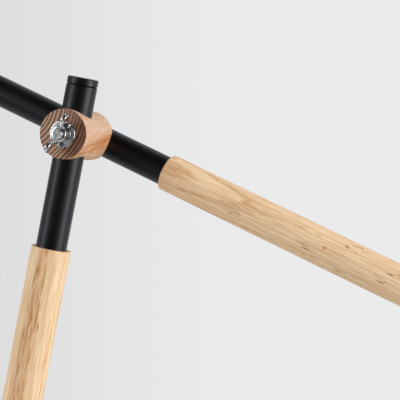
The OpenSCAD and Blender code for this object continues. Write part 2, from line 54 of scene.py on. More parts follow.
def put(tree, kind, inputs=(), **settings):
    """Adds a shader node. An input is a plain value, or another node's output to link."""
    node = tree.nodes.new("ShaderNode" + kind)
    for name, value in settings.items():
        setattr(node, name, value)
    for name, value in dict(inputs).items():
        if isinstance(value, bpy.types.NodeSocket):
            tree.links.new(value, node.inputs[name])
        else:
            node.inputs[name].default_value = value
    return node


def mixed(tree, share, first, second):
    """A colour between two others."""
    return put(tree, "Mix", {0: share, 6: first, 7: second}, data_type="RGBA").outputs[2]


def speckle(tree, vector, scale, detail=2.0):
    """Noise from 0 to 1 with that many features to the metre."""
    return put(tree, "TexNoise", {"Vector": vector, "Scale": scale, "Detail": detail}).outputs[0]


def new_finish(name, colour, roughness, metallic=0.0):
    """A material with its node tree and shader, and the coordinates of the piece it is on."""
    finish = bpy.data.materials.new(name)
    finish.use_nodes = True
    shader = finish.node_tree.nodes["Principled BSDF"]
    shader.inputs["Base Color"].default_value = colour
    shader.inputs["Roughness"].default_value = roughness
    shader.inputs["Metallic"].default_value = metallic
    return finish, finish.node_tree, shader, put(finish.node_tree, "TexCoord").outputs


def join_up(tree, value, shader, socket):
    """Feeds a value or a colour to one of the shader's sockets."""
    tree.links.new(value, shader.inputs[socket])


def relief(tree, shader, height, depth):
    """Raises the surface by a height from 0 to 1, times a depth in metres."""
    bump = put(tree, "Bump", {"Height": height, "Distance": depth, "Strength": 1.0})
    tree.links.new(bump.outputs[0], shader.inputs["Normal"])


def rounded(corners, steps=5):
    """The points of an outline whose corners are (x, y, rounding)."""
    points = []
    for i, (x, y, rounding) in enumerate(corners):
        corner = Vector((x, y))
        if not rounding:
            points.append(corner)
            continue
        back = (Vector(corners[i - 1][:2]) - corner).normalized()
        on = (Vector(corners[(i + 1) % len(corners)][:2]) - corner).normalized()
        half = back.angle(on) / 2
        centre = corner + (back + on).normalized() * rounding / math.sin(half)
        first = corner + back * rounding / math.tan(half) - centre
        last = corner + on * rounding / math.tan(half) - centre
        sweep = math.pi - 2 * half
        for k in range(steps + 1):
            turn = sweep * k / steps
            spoke = first * math.sin(sweep - turn) + last * math.sin(turn)
            points.append(centre + spoke / math.sin(sweep))
    return points


def turn_into(form, corners, place=Matrix(), sides=96):
    """Adds a turned solid. Its half section has corners (radius, height, rounding)."""
    rings = []
    for radius, height in rounded(corners):
        spokes = sides if radius > 1e-7 else 1
        angles = [2 * math.pi * k / sides for k in range(spokes)]
        around = [(radius * math.cos(a), radius * math.sin(a), height) for a in angles]
        rings.append([form.verts.new(place @ Vector(point)) for point in around])
    for near, far in zip(rings, rings[1:] + rings[:1]):
        if len(near) + len(far) == 2:
            continue
        for k in range(sides):
            on = (k + 1) % sides
            loop = [near[k % len(near)], near[on % len(near)], far[on % len(far)], far[k % len(far)]]
            form.faces.new(list(dict.fromkeys(loop)))


def baked(piece):
    """Replaces a piece's mesh with what its modifiers make of it."""
    bpy.context.view_layer.update()
    shaped = piece.evaluated_get(bpy.context.evaluated_depsgraph_get())
    piece.data = bpy.data.meshes.new_from_object(shaped)
    piece.modifiers.clear()


def piece_from(name, form, place=Matrix(), cutters=(), melt=0.0, lapped=False):
    """Makes the piece of a form, less the forms that cut it, with crisp edges and true flat faces.

    Where a casting's parts run together, melt is the size of their fillets. A form is lapped where its
    parts overlap."""
    bmesh.ops.recalc_face_normals(form, faces=form.faces)
    mesh = bpy.data.meshes.new(name)
    form.to_mesh(mesh)
    form.free()
    piece = bpy.data.objects.new(name, mesh)
    bpy.context.scene.collection.objects.link(piece)
    if melt:
        run_together = piece.modifiers.new("run_together", "REMESH")
        run_together.mode = "VOXEL"
        run_together.voxel_size = melt
        fillets = piece.modifiers.new("fillets", "SMOOTH")
        fillets.factor, fillets.iterations = 0.5, 7
        baked(piece)
    for cutter in cutters:
        tool = piece_from(name + "_cutter", cutter)
        cut = piece.modifiers.new("cut", "BOOLEAN")
        cut.object = tool
        cut.solver = "EXACT"
        cut.use_self = lapped
        baked(piece)
        bpy.data.objects.remove(tool)
    piece.data.shade_smooth()
    piece.data.set_sharp_from_angle(angle=math.radians(38))
    piece.modifiers.new("true_faces", "WEIGHTED_NORMAL").keep_sharp = True
    piece.matrix_world = place
    return piece


def fit(piece, body, slot, finish, *stands_for):
    """Gives a piece its finish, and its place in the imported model."""
    piece.data.materials.append(finish)
    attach(piece, body)
    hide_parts(*stands_for)


pad_r, pad_t = 146 * mm, 3 * mm
foam, tree, shader, where = new_finish("foam_rubber", seen(44, 44, 45), 0.95)
cells = speckle(tree, where["Object"], 1400, 4)
join_up(tree, mixed(tree, cells, seen(28, 28, 29), seen(66, 66, 66)), shader, "Base Color")
relief(tree, shader, cells, 0.4 * mm)
form = bmesh.new()
turn_into(form, [(0, 0, 0), (pad_r, 0, 1 * mm), (pad_r, pad_t, 1 * mm), (0, pad_t, 0)], sides=160)
fit(piece_from("foam_pad", form), "stand", "floor_pad", foam, "base_pad")

# Base weight, with its hold-down bolt and washer and the threaded plug in the mast's foot. The
# weight is a rough sand casting under the cover; the fastenings are plain turned steel.


def dress(finish, slot, *names):
    """Gives solids that stay out of sight their finish."""
    for name in names:
        solid = frame["nodes"][name]
        solid.data.materials.clear()
        solid.data.materials.append(finish)


cast_iron, tree, shader, where = new_finish("cast_iron", seen(70, 70, 72), 0.75, 0.6)
sand = speckle(tree, where["Object"], 500, 5)
join_up(tree, mixed(tree, sand, seen(52, 50, 49), seen(92, 90, 88)), shader, "Base Color")
relief(tree, shader, sand, 0.5 * mm)
dress(cast_iron, "cast_weight", "base_weight")


def sums(tree, operation, *values):
    """The result of a Math node."""
    return put(tree, "Math", dict(enumerate(values)), operation=operation).outputs[0]


def eased(tree, value, low, high):
    """0 below low and 1 above high, with a soft step between them."""
    inputs = {"Value": value, "From Min": low, "From Max": high}
    return put(tree, "MapRange", inputs, interpolation_type="SMOOTHSTEP").outputs[0]


def spread(tree, value, low, high):
    """A value from 0 to 1 spread from low to high."""
    return put(tree, "MapRange", {"Value": value, "To Min": low, "To Max": high}).outputs[0]


def stretched(tree, vector, factors):
    """Coordinates multiplied axis by axis."""
    return put(tree, "VectorMath", {0: vector, 1: factors}, operation="MULTIPLY").outputs[0]


def new_group(name, inputs, outputs):
    """A group of shader nodes, with what it is given and what it makes."""
    tree = bpy.data.node_groups.new(name, "ShaderNodeTree")
    for label, kind, value in inputs:
        socket = tree.interface.new_socket(label, in_out="INPUT", socket_type="NodeSocket" + kind)
        if value is not None:
            socket.default_value = value
    for label in outputs:
        tree.interface.new_socket(label, in_out="OUTPUT", socket_type="NodeSocketFloat")
    return tree, tree.nodes.new("NodeGroupInput").outputs, tree.nodes.new("NodeGroupOutput").inputs


# Metal's handling marks: faint cloudy stains and fine short scratches that run all ways
scuffs, given, made = new_group(
    "scuffs", [("Vector", "Vector", None), ("Fineness", "Float", 1.0)], ["Cloud", "Scratch"])
cloud = speckle(scuffs, given["Vector"], 120, 4)
sized = put(scuffs, "VectorMath", {0: given["Vector"], "Scale": given["Fineness"]}, operation="SCALE")
bent = stretched(scuffs, sized.outputs[0], (1.0, 0.06, 0.35))
lines = speckle(scuffs, bent, 2600, 3)
scuffs.links.new(cloud, made["Cloud"])
scuffs.links.new(eased(scuffs, lines, 0.56, 0.72), made["Scratch"])


def metal_finish(name, bright, dull, smooth, rough):
    """A metal that is a little clouded and scratched by handling."""
    finish, tree, shader, where = new_finish(name, bright, smooth, 1.0)
    marks = put(tree, "Group", {"Vector": where["Object"]}, node_tree=scuffs).outputs
    cloud = eased(tree, marks["Cloud"], 0.3, 0.75)
    join_up(tree, mixed(tree, cloud, bright, dull), shader, "Base Color")
    worn = sums(tree, "MAXIMUM", cloud, marks["Scratch"])
    join_up(tree, spread(tree, worn, smooth, rough), shader, "Roughness")
    relief(tree, shader, sums(tree, "SUBTRACT", 1.0, marks["Scratch"]), 0.0008 * mm)
    return finish


plain_steel = metal_finish("plain_steel", seen(186, 186, 188), seen(150, 149, 148), 0.28, 0.46)
dress(plain_steel, "plain_steel", "base_washer", "base_bolt", "foot_plug")

# Base cover. A shallow dish spun from 1.5 mm steel sheet, with a rounded shoulder and its rim just
# off the floor, powder-coated satin black and dropped over the weight.
cover_r, cover_top, cover_rim = 150 * mm, 22 * mm, 1 * mm
cover_wall, shoulder_r, bolt_hole = 1.5 * mm, 8 * mm, 5.3 * mm

# Powder coat: the low ripple that melted powder leaves, and a faint cloudiness in its sheen
ripple, given, made = new_group(
    "coat_ripple", [("Vector", "Vector", None), ("Scale", "Float", 900.0)], ["Height", "Cloud"])
waves = put(ripple, "TexNoise", {"Vector": given["Vector"], "Scale": given["Scale"], "Detail": 2.0})
ripple.links.new(waves.outputs[0], made["Height"])
ripple.links.new(speckle(ripple, given["Vector"], 45, 3), made["Cloud"])


def coat_finish(name, colour, pale, smooth, rough, depth):
    """Powder coat over metal, with a painted blue tint in its reflections."""
    finish, tree, shader, where = new_finish(name, colour, smooth)
    shader.inputs["Specular IOR Level"].default_value = 0.37
    # Painted reflection colour: a faint blue tint on the coat's reflections, for the light's blue cast.
    shader.inputs["Specular Tint"].default_value = (0.9, 0.93, 1.0, 1.0)
    coat = put(tree, "Group", {"Vector": where["Object"]}, node_tree=ripple).outputs
    join_up(tree, mixed(tree, coat["Cloud"], colour, pale), shader, "Base Color")
    join_up(tree, spread(tree, coat["Cloud"], smooth, rough), shader, "Roughness")
    relief(tree, shader, coat["Height"], depth)
    return finish


black_coat = coat_finish("black_coat", seen(7, 7, 8), seen(11, 11, 12), 0.36, 0.43, 0.02 * mm)
inside_r, inside_top = cover_r - cover_wall, cover_top - cover_wall
form = bmesh.new()
turn_into(form, [
    (bolt_hole, cover_top, 0), (cover_r, cover_top, shoulder_r), (cover_r, cover_rim, 0.5 * mm),
    (inside_r, cover_rim, 0.5 * mm), (inside_r, inside_top, shoulder_r - cover_wall),
    (bolt_hole, inside_top, 0),
], sides=192)
fit(piece_from("base_cover_dish", form), "stand", "black_coat", black_coat, "base_cover")

# Mast foot. A turned steel flange with a cove that draws up to a short socket. The bolt from below
# clamps it on the cover, and it carries the mast's tube. Coated black with the rest.
foot_r, foot_neck_r, foot_edge, foot_cove = 31 * mm, 18 * mm, 5 * mm, 13 * mm
foot_top, tube_bottom, socket_r = 54 * mm, 28 * mm, 12.55 * mm
cove_end = cover_top + foot_edge + foot_cove
cove = [
    (foot_neck_r + foot_cove * (1 - math.cos(a)), cove_end - foot_cove * math.sin(a), 0)
    for a in [math.radians(90 - 7.5 * k) for k in range(1, 13)]
]
form = bmesh.new()
turn_into(form, [
    (bolt_hole, cover_top, 0), (foot_r, cover_top, 0.4 * mm), (foot_r, cover_top + foot_edge, 0.4 * mm),
    *cove, (foot_neck_r, foot_top, 0.8 * mm), (socket_r, foot_top, 0), (socket_r, tube_bottom, 0),
    (bolt_hole, tube_bottom, 0),
], sides=128)
fit(piece_from("mast_foot_flange", form), "stand", "black_coat", black_coat, "mast_foot")

# Mast tubes. Two lengths of 25 mm drawn steel tube, coated satin black, that meet inside the collar.
# The upper one is drilled right through for the tilt joint's bolt.
mast_r, mast_bore, tube_edge = 12.5 * mm, 11.3 * mm, 0.25 * mm
collar_low, collar_high, mast_top = 638.5 * mm, 652.5 * mm, 1369.7 * mm


def turns_at(name):
    """Where one of the lamp's joints turns."""
    return Vector(next(j["pos_m"] for j in frame["joints"] if j["name"] == name))


joint = turns_at("arm_tilt")
bolt_r, bolt_run = 4 * mm, 4.08 * mm
across_joint = Matrix.Translation(joint) @ Matrix.Rotation(math.radians(-90), 4, "X")


def tube(name, radius, bore, low, high, place=Matrix(), rings=(), cutters=()):
    """A straight tube with eased ends. Rings are heights at which its wall gets an extra edge."""
    inner = [(bore, z, 0) for z in sorted(rings)]
    outer = [(radius, z, 0) for z in sorted(rings, reverse=True)]
    form = bmesh.new()
    turn_into(form, [
        (bore, low, 0), *inner, (bore, high, 0),
        (radius, high, tube_edge), *outer, (radius, low, tube_edge),
    ], sides=128)
    return piece_from(name, form, place, cutters)


def rod(radius, low, high, place=Matrix(), sides=64):
    """A plain round bar, for cutting holes."""
    form = bmesh.new()
    turn_into(form, [(0, low, 0), (radius, low, 0), (radius, high, 0), (0, high, 0)], place, sides)
    return form


lower_tube = tube("mast_tube_lower", mast_r, mast_bore, tube_bottom, collar_low)
fit(lower_tube, "stand", "black_coat", black_coat, "mast_lower_tube")
drilled = (joint.z - 2 * bolt_r, joint.z + 2 * bolt_r)
bolt_drill = rod(bolt_run, -2 * mast_r, 2 * mast_r, across_joint)
upper_tube = tube("mast_tube_upper", mast_r, mast_bore, collar_high, mast_top, rings=drilled,
                  cutters=[bolt_drill])
fit(upper_tube, "stand", "black_coat", black_coat, "mast_upper_tube")

# Mast collar and cap. The collar is a turned steel ring with a spigot up into each tube, so that the
# mast ships in two lengths. The cap is a turned plug with a fine groove under its edge, its faces painted
# near-black as painted shade.
collar_r, spigot_r, spigot_bore, spigot = 16 * mm, 11.25 * mm, 8.25 * mm, 40 * mm
form = bmesh.new()
turn_into(form, [
    (spigot_bore, collar_low - spigot, 0), (spigot_r, collar_low - spigot, 0.6 * mm),
    (spigot_r, collar_low, 0), (collar_r, collar_low, 0.5 * mm), (collar_r, collar_high, 0.5 * mm),
    (spigot_r, collar_high, 0), (spigot_r, collar_high + spigot, 0.6 * mm),
    (spigot_bore, collar_high + spigot, 0),
])
fit(piece_from("mast_collar_ring", form), "stand", "black_coat", black_coat, "mast_collar")
cap_groove, groove_r, cap_top, cap_plug = 0.8 * mm, 11.7 * mm, 1376 * mm, 15 * mm
cap_low = mast_top + cap_groove
form = bmesh.new()
turn_into(form, [
    (0, mast_top - cap_plug, 0), (spigot_r, mast_top - cap_plug, 0.6 * mm), (spigot_r, mast_top, 0),
    (groove_r, mast_top, 0), (groove_r, cap_low, 0), (mast_r, cap_low, 0.2 * mm),
    (mast_r, cap_top, 0.9 * mm), (0, cap_top, 0),
], sides=128)
cap = piece_from("mast_cap_plug", form)
fit(cap, "stand", "black_coat", black_coat, "mast_cap")
# Painted shade: the groove's faces get a near-black matt finish with faint speckle, standing in for the
# shadow inside the groove.
groove_painted_shade, tree, shader, where = new_finish("groove_painted_shade", seen(4, 4, 4), 0.95)
shade_speckle = speckle(tree, where["Object"], 1500, 3)
join_up(tree, mixed(tree, shade_speckle, seen(3, 3, 3), seen(8, 8, 8)), shader, "Base Color")
shader.inputs["Specular IOR Level"].default_value = 0.1
cap.data.materials.append(groove_painted_shade)
for face in cap.data.polygons:
    low_face = mast_top - tube_edge < face.center.z < cap_low + tube_edge
    face.material_index = 1 if low_face and face.center.xy.length < mast_r - tube_edge else 0

# Mast sleeves. Two turned tubes of pale ash, bored to slide over the steel, with chamfered ends and a
# thin matt oil that leaves the grain open. The foot and the collar hold them.
sleeve_r, sleeve_bore, sleeve_edge, sleeve_top = 16 * mm, 12.55 * mm, 0.4 * mm, 1237 * mm

# Wood: rings about a pith line that lies beside the piece and shifts across it, so that a turned face
# cuts them into long arches, with fine fibres, open pores in dashes and broad changes of tone
grain, given, made = new_group("wood_grain", [
    ("Vector", "Vector", None), ("Pith", "Vector", None), ("Shift", "Vector", None),
    ("From", "Float", 0.0), ("To", "Float", 1.0), ("Ring Width", "Float", 4 * mm),
    ("Phase", "Float", 0.0), ("Wander", "Float", 3 * mm),
], ["Ring", "Season", "Streak", "Dash", "Fibre", "Pore", "Patch"])
height = put(grain, "SeparateXYZ", {0: given["Vector"]}).outputs["Z"]
along = eased(grain, height, given["From"], given["To"])
drift = put(grain, "VectorMath", {0: given["Shift"], "Scale": along}, operation="SCALE").outputs[0]
slow = stretched(grain, given["Vector"], (1.0, 1.0, 0.12))
bend = put(grain, "TexNoise", {"Vector": slow, "Scale": 22.0, "Detail": 3.0}).outputs["Color"]
jitter = put(grain, "TexNoise", {"Vector": slow, "Scale": 180.0, "Detail": 2.0}).outputs["Color"]
bend = put(grain, "Mix", {0: 0.2, 4: bend, 5: jitter}, data_type="VECTOR").outputs[1]
bend = put(grain, "VectorMath", {0: bend, 1: (0.5, 0.5, 0.5)}, operation="SUBTRACT").outputs[0]
bend = put(grain, "VectorMath", {0: bend, "Scale": given["Wander"]}, operation="SCALE").outputs[0]
off = put(grain, "VectorMath", {0: given["Vector"], 1: given["Pith"]}, operation="SUBTRACT").outputs[0]
off = put(grain, "VectorMath", {0: off, 1: drift}, operation="SUBTRACT").outputs[0]
off = put(grain, "VectorMath", {0: off, 1: bend}, operation="ADD").outputs[0]
off = stretched(grain, off, (1.0, 1.0, 0.0))
radius = put(grain, "VectorMath", {0: off}, operation="LENGTH").outputs["Value"]
uneven = put(grain, "TexNoise", {"W": radius, "Scale": 130.0, "Detail": 0.0}, noise_dimensions="1D")
years = sums(grain, "ADD", sums(grain, "DIVIDE", radius, given["Ring Width"]), given["Phase"])
years = sums(grain, "ADD", years, spread(grain, uneven.outputs[0], -0.5, 0.5))
season = sums(grain, "FRACT", years)
nearest = sums(grain, "FLOOR", sums(grain, "ADD", years, 0.5))
strength = put(grain, "TexWhiteNoise", {"W": nearest}, noise_dimensions="1D").outputs["Value"]
after = sums(grain, "SUBTRACT", 1.0, eased(grain, season, 0.0, 0.34))
band = sums(grain, "MAXIMUM", after, eased(grain, season, 0.9, 1.0))
grain.links.new(sums(grain, "MULTIPLY", band, spread(grain, strength, 0.6, 1.0)), made["Ring"])
grain.links.new(season, made["Season"])
broad = speckle(grain, stretched(grain, given["Vector"], (1.0, 1.0, 0.02)), 420, 2)
grain.links.new(eased(grain, broad, 0.4, 0.66), made["Streak"])
dash = speckle(grain, stretched(grain, given["Vector"], (1.0, 1.0, 0.06)), 1150, 1)
in_band = spread(grain, eased(grain, band, 0.1, 0.8), 0.12, 1.0)
grain.links.new(sums(grain, "MULTIPLY", eased(grain, dash, 0.5, 0.6), in_band), made["Dash"])
fine = speckle(grain, stretched(grain, given["Vector"], (1.0, 1.0, 0.03)), 1000, 4)
grain.links.new(eased(grain, fine, 0.4, 0.6), made["Fibre"])
pore = speckle(grain, stretched(grain, given["Vector"], (1.0, 1.0, 0.1)), 1000, 0)
crowd = speckle(grain, stretched(grain, given["Vector"], (1.0, 1.0, 0.4)), 60, 1)
pore = sums(grain, "MULTIPLY", eased(grain, pore, 0.69, 0.73), eased(grain, crowd, 0.57, 0.66))
grain.links.new(pore, made["Pore"])
grain.links.new(speckle(grain, slow, 30, 2), made["Patch"])


def ash_finish(name, pith, shift, low, high, ring_width, phase, figure, knot=None):
    """Oiled ash with its grain along the piece's own Z. The pith shifts between two heights."""
    finish, tree, shader, where = new_finish(name, seen(232, 206, 170), 0.55)
    shader.inputs["Specular IOR Level"].default_value = 0.25
    wood = put(tree, "Group", {
        "Vector": where["Object"], "Pith": pith, "Shift": shift, "From": low, "To": high,
        "Ring Width": ring_width, "Phase": phase,
    }, node_tree=grain).outputs
    blush = spread(tree, eased(tree, wood["Patch"], 0.35, 0.7), 0.0, 0.4)
    colour = mixed(tree, blush, seen(255, 227, 186), seen(244, 202, 165))
    colour = mixed(tree, spread(tree, wood["Ring"], 0.0, 0.6 * figure), colour, seen(212, 156, 98))
    colour = mixed(tree, spread(tree, wood["Streak"], 0.0, 0.3 * figure), colour, seen(208, 156, 104))
    colour = mixed(tree, spread(tree, wood["Dash"], 0.0, figure), colour, seen(182, 112, 44))
    colour = mixed(tree, spread(tree, wood["Fibre"], 0.0, 0.5), colour, seen(208, 160, 108))
    colour = mixed(tree, spread(tree, wood["Pore"], 0.0, 0.95), colour, seen(100, 46, 8))
    if knot:
        off_knot = put(tree, "VectorMath", {0: where["Object"], 1: knot}, operation="DISTANCE")
        in_knot = eased(tree, off_knot.outputs["Value"], 2 * mm, 0.8 * mm)
        colour = mixed(tree, spread(tree, in_knot, 0.0, 0.8), colour, seen(206, 138, 66))
    facing = sums(tree, "ABSOLUTE", put(tree, "SeparateXYZ", {0: where["Normal"]}).outputs["Z"])
    cut_end = spread(tree, eased(tree, facing, 0.6, 0.95), 0.0, 0.6)
    colour = mixed(tree, cut_end, colour, seen(186, 142, 100))
    join_up(tree, colour, shader, "Base Color")
    join_up(tree, spread(tree, wood["Fibre"], 0.48, 0.66), shader, "Roughness")
    dents = sums(tree, "SUBTRACT", sums(tree, "MULTIPLY", wood["Fibre"], 0.6), wood["Pore"])
    relief(tree, shader, dents, 0.03 * mm)
    return finish


def wood_sleeve(name, radius, bore, low, high, edge, place=Matrix()):
    """A turned and bored wooden tube with chamfered outer edges."""
    soft = edge / 3
    form = bmesh.new()
    turn_into(form, [
        (bore, low, 0), (radius - edge, low, soft), (radius, low + edge, soft),
        (radius, high - edge, soft), (radius - edge, high, soft), (bore, high, 0),
    ], sides=128)
    return piece_from(name, form, place)


mast_ash = ash_finish("mast_ash", pith=(0, 44.85 * mm, 0), shift=(0, -6 * mm, 0), low=0.2, high=1.4,
                      ring_width=9 * mm, phase=-0.13, figure=0.74)
lower_sleeve = wood_sleeve("mast_sleeve_lower_ash", sleeve_r, sleeve_bore, foot_top, collar_low,
                           sleeve_edge)
fit(lower_sleeve, "stand", "ash", mast_ash, "mast_lower_sleeve")
upper_sleeve = wood_sleeve("mast_sleeve_upper_ash", sleeve_r, sleeve_bore, collar_high, sleeve_top,
                           sleeve_edge)
fit(upper_sleeve, "stand", "ash", mast_ash, "mast_upper_sleeve")

# Tilt block. A turned cylinder of a redder wood, its grain along the bolt, sawn into two halves. The
# front half is bored for the mast and the rear one has a saddle for the arm. Oil soaks into the end
# grain and turns it dark, while the long grain of the side stays light.
block_r, block_front, block_rear = 20 * mm, 20 * mm, 35.9 * mm
block_split, split_gap, block_edge = 19.5 * mm, 0.1 * mm, 0.4 * mm
block_bore, arm_r = 12.65 * mm, 12 * mm
head_pivot = turns_at("head_tilt")
arm_mid = Vector((joint.x, head_pivot.y, joint.z))
arm_line = (arm_mid - head_pivot).normalized()
arm_side = Vector((0, 1, 0)).cross(arm_line)
along_arm = Matrix.Translation(arm_mid) @ Matrix((arm_side, (0, 1, 0), arm_line)).transposed().to_4x4()

block_wood, tree, shader, where = new_finish("block_wood", seen(220, 170, 130), 0.5)
wood = put(tree, "Group", {
    "Vector": where["Object"], "Pith": (-46 * mm, -18.5 * mm, 0), "Shift": (-8 * mm, -3.2 * mm, 0),
    "From": -25 * mm, "To": 40 * mm, "Ring Width": 2.9 * mm, "Wander": 4 * mm,
}, node_tree=grain).outputs
here = put(tree, "SeparateXYZ", {0: where["Object"]}).outputs
slant = sums(tree, "MULTIPLY_ADD", here["Z"], 0.27, here["Y"])
ground = mixed(tree, eased(tree, slant, -4 * mm, 7 * mm), seen(216, 179, 149), seen(212, 165, 121))
side = mixed(tree, spread(tree, wood["Ring"], 0.0, 0.6), ground, seen(196, 145, 104))
leaning = put(tree, "CombineXYZ", {"X": here["X"], "Y": slant, "Z": here["Z"]}).outputs[0]
streaks = speckle(tree, stretched(tree, leaning, (1.0, 1.0, 0.05)), 380, 3)
from_figure = sums(tree, "ABSOLUTE", sums(tree, "SUBTRACT", slant, 8 * mm))
figure = sums(tree, "SUBTRACT", 1.0, eased(tree, from_figure, 2 * mm, 9 * mm))
deep = sums(tree, "MULTIPLY", figure, eased(tree, streaks, 0.58, 0.42))
side = mixed(tree, spread(tree, deep, 0.0, 0.85), side, seen(186, 110, 50))
pale_streak = mixed(tree, figure, seen(228, 196, 166), seen(214, 160, 112))
side = mixed(tree, spread(tree, eased(tree, streaks, 0.5, 0.7), 0.0, 0.6), side, pale_streak)
side = mixed(tree, spread(tree, wood["Fibre"], 0.0, 0.3), side, seen(188, 134, 94))
heart = eased(tree, here["X"], -8 * mm, 17 * mm)
pale_ring = mixed(tree, heart, seen(208, 164, 132), seen(141, 83, 49))
dark_ring = mixed(tree, heart, seen(90, 60, 44), seen(46, 22, 12))
pale = eased(tree, wood["Season"], 0.15, 0.7)
pale = sums(tree, "SUBTRACT", pale, eased(tree, wood["Season"], 0.86, 1.0))
end = mixed(tree, pale, dark_ring, pale_ring)
end = mixed(tree, spread(tree, eased(tree, wood["Patch"], 0.4, 0.7), 0.0, 0.25), end, seen(112, 76, 60))
flecks = eased(tree, speckle(tree, where["Object"], 620, 3), 0.38, 0.62)
end = mixed(tree, spread(tree, flecks, 0.0, 0.12), end, seen(178, 140, 112))
facing = sums(tree, "ABSOLUTE", put(tree, "SeparateXYZ", {0: where["Normal"]}).outputs["Z"])
join_up(tree, mixed(tree, eased(tree, facing, 0.4, 0.7), side, end), shader, "Base Color")
join_up(tree, spread(tree, wood["Fibre"], 0.46, 0.62), shader, "Roughness")
relief(tree, shader, sums(tree, "MULTIPLY_ADD", wood["Ring"], 0.4, wood["Fibre"]), 0.05 * mm)

to_block = across_joint.inverted()
form = bmesh.new()
turn_into(form, [
    (bolt_run, -block_front, 0), (block_r - block_edge, -block_front, 0.15 * mm),
    (block_r, -block_front + block_edge, 0.15 * mm), (block_r, block_split, 0.1 * mm),
    (bolt_run, block_split, 0),
], sides=160)
mast_hole = rod(block_bore, joint.z - 2 * block_r, joint.z + 2 * block_r, to_block, 160)
front_half = piece_from("tilt_block_front", form, across_joint, [mast_hole])
fit(front_half, "stand", "block_wood", block_wood, "block_front_half")
saddle_r, bolt_fit = 12.05 * mm, 4.05 * mm
rear_start = block_split + split_gap
form = bmesh.new()
turn_into(form, [
    (bolt_fit, rear_start, 0), (block_r, rear_start, 0.1 * mm),
    (block_r, block_rear - block_edge, 0.15 * mm), (block_r - block_edge, block_rear, 0.15 * mm),
    (bolt_fit, block_rear, 0),
], sides=160)
saddle = rod(saddle_r, -2 * block_r, 2 * block_r, to_block @ along_arm, 160)
rear_half = piece_from("tilt_block_rear", form, across_joint, [saddle])
fit(rear_half, "arm", "block_wood", block_wood, "block_rear_half")

# Friction disc. A ring of pressed fibre let into the front half, which the rear half turns on. It
# shows only as the dark line of the split.
fibre, tree, shader, where = new_finish("fibre", seen(104, 74, 52), 0.85)
flecks = speckle(tree, where["Object"], 1600, 4)
join_up(tree, mixed(tree, flecks, seen(70, 48, 34), seen(140, 104, 74)), shader, "Base Color")
relief(tree, shader, flecks, 0.1 * mm)
dress(fibre, "fibre", "friction_disc")

# Washer, bolt and saddle piece. Pressed and cold-headed steel, bright zinc-plated. The press has left
# the washer's face slightly domed. The bolt's domed head and square neck sit in the saddle piece behind
# the arm, and its thread comes out in front.
zinc = metal_finish("bright_zinc", seen(232, 233, 233), seen(214, 216, 219), 0.17, 0.24)
washer_r, washer_t, washer_hole, washer_fall = 10.75 * mm, 1.6 * mm, 4.3 * mm, 0.28 * mm
washer_face = -block_front - washer_t
spans = [washer_hole + (washer_r - washer_hole) * k / 8 for k in range(8)]
falls = [washer_fall * (r ** 2 - washer_hole ** 2) / washer_r ** 2 for r in spans]
form = bmesh.new()
turn_into(form, [
    *[(r, washer_face + fall, 0) for r, fall in zip(spans, falls)],
    (washer_r, washer_face + washer_fall, 0.5 * mm), (washer_r, -block_front, 0.15 * mm),
    (washer_hole, -block_front, 0.15 * mm),
], sides=128)
washer = piece_from("joint_washer_pressed", form, across_joint)
fit(washer, "stand", "bright_zinc", zinc, "joint_washer")


def thread_into(form, radius, depth, pitch, low, high, point, place=Matrix(), sides=48):
    """Adds a rod with a helical thread and a tapered point at its low end."""
    count = round((high - low) / pitch * 10)
    rings = []
    for k in range(count + 1):
        z = low + (high - low) * k / count
        most = radius - max(0.0, point - (z - low))
        ring = []
        for s in range(sides):
            wave = abs((z / pitch - s / sides) % 1 * 2 - 1)
            out = min(most, radius - depth * min(1.0, 1.25 * wave))
            angle = 2 * math.pi * s / sides
            ring.append(form.verts.new(place @ Vector((out * math.cos(angle), out * math.sin(angle), z))))
        rings.append(ring)
    for near, far in zip(rings, rings[1:]):
        for s in range(sides):
            form.faces.new((near[s - 1], near[s], far[s], far[s - 1]))
    for ring in (rings[0], rings[-1]):
        form.faces.new(ring)


def dome_points(radius, height, low, steps=12):
    """Corners along a low dome's half section, from its rim to its top."""
    ball = (radius ** 2 + height ** 2) / (2 * height)
    rim = math.asin(radius / ball)
    angles = [rim * (1 - k / steps) for k in range(steps + 1)]
    return [(ball * math.sin(a), low + height - ball * (1 - math.cos(a)), 0) for a in angles]


def merge_into(form, part, place):
    """Adds one form to another, put in its place."""
    part.transform(place)
    mesh = bpy.data.meshes.new("part")
    part.to_mesh(mesh)
    part.free()
    form.from_mesh(mesh)
    bpy.data.meshes.remove(mesh)


def bar_into(form, half_x, half_y, low, high, edge, place=Matrix()):
    """Adds a rectangular bar with eased edges."""
    bar = bmesh.new()
    bmesh.ops.create_cube(bar, size=2.0)
    for vert in bar.verts:
        vert.co = (vert.co.x * half_x, vert.co.y * half_y, high if vert.co.z > 0 else low)
    bmesh.ops.bevel(bar, geom=bar.edges[:], offset=edge, segments=3, profile=0.5, affect="EDGES")
    merge_into(form, bar, place)


bolt_end, bolt_head_y, bolt_head_r, bolt_head_h = -32.2 * mm, 55.9 * mm, 9 * mm, 4.5 * mm
neck_half, neck_len, thread_end, bolt_point = 4.3 * mm, 3 * mm, 14 * mm, 0.5 * mm
bolt_pitch, bolt_thread = 1.25 * mm, 0.62 * mm
arm_turn = Matrix.Rotation(arm_line.angle(Vector((1, 0, 0))), 4, "Z")
form = bmesh.new()
thread_into(form, bolt_r, bolt_thread, bolt_pitch, bolt_end, thread_end, bolt_point)
turn_into(form, [
    (0, thread_end - 1 * mm, 0), (bolt_r, thread_end - 1 * mm, 0.3 * mm), (bolt_r, bolt_head_y, 0),
    *dome_points(bolt_head_r, bolt_head_h, bolt_head_y),
], sides=96)
bar_into(form, neck_half, neck_half, bolt_head_y - neck_len, bolt_head_y + 0.5 * mm, 0.3 * mm, arm_turn)
bolt = piece_from("carriage_bolt", form, across_joint)
fit(bolt, "arm", "bright_zinc", zinc, "joint_bolt")
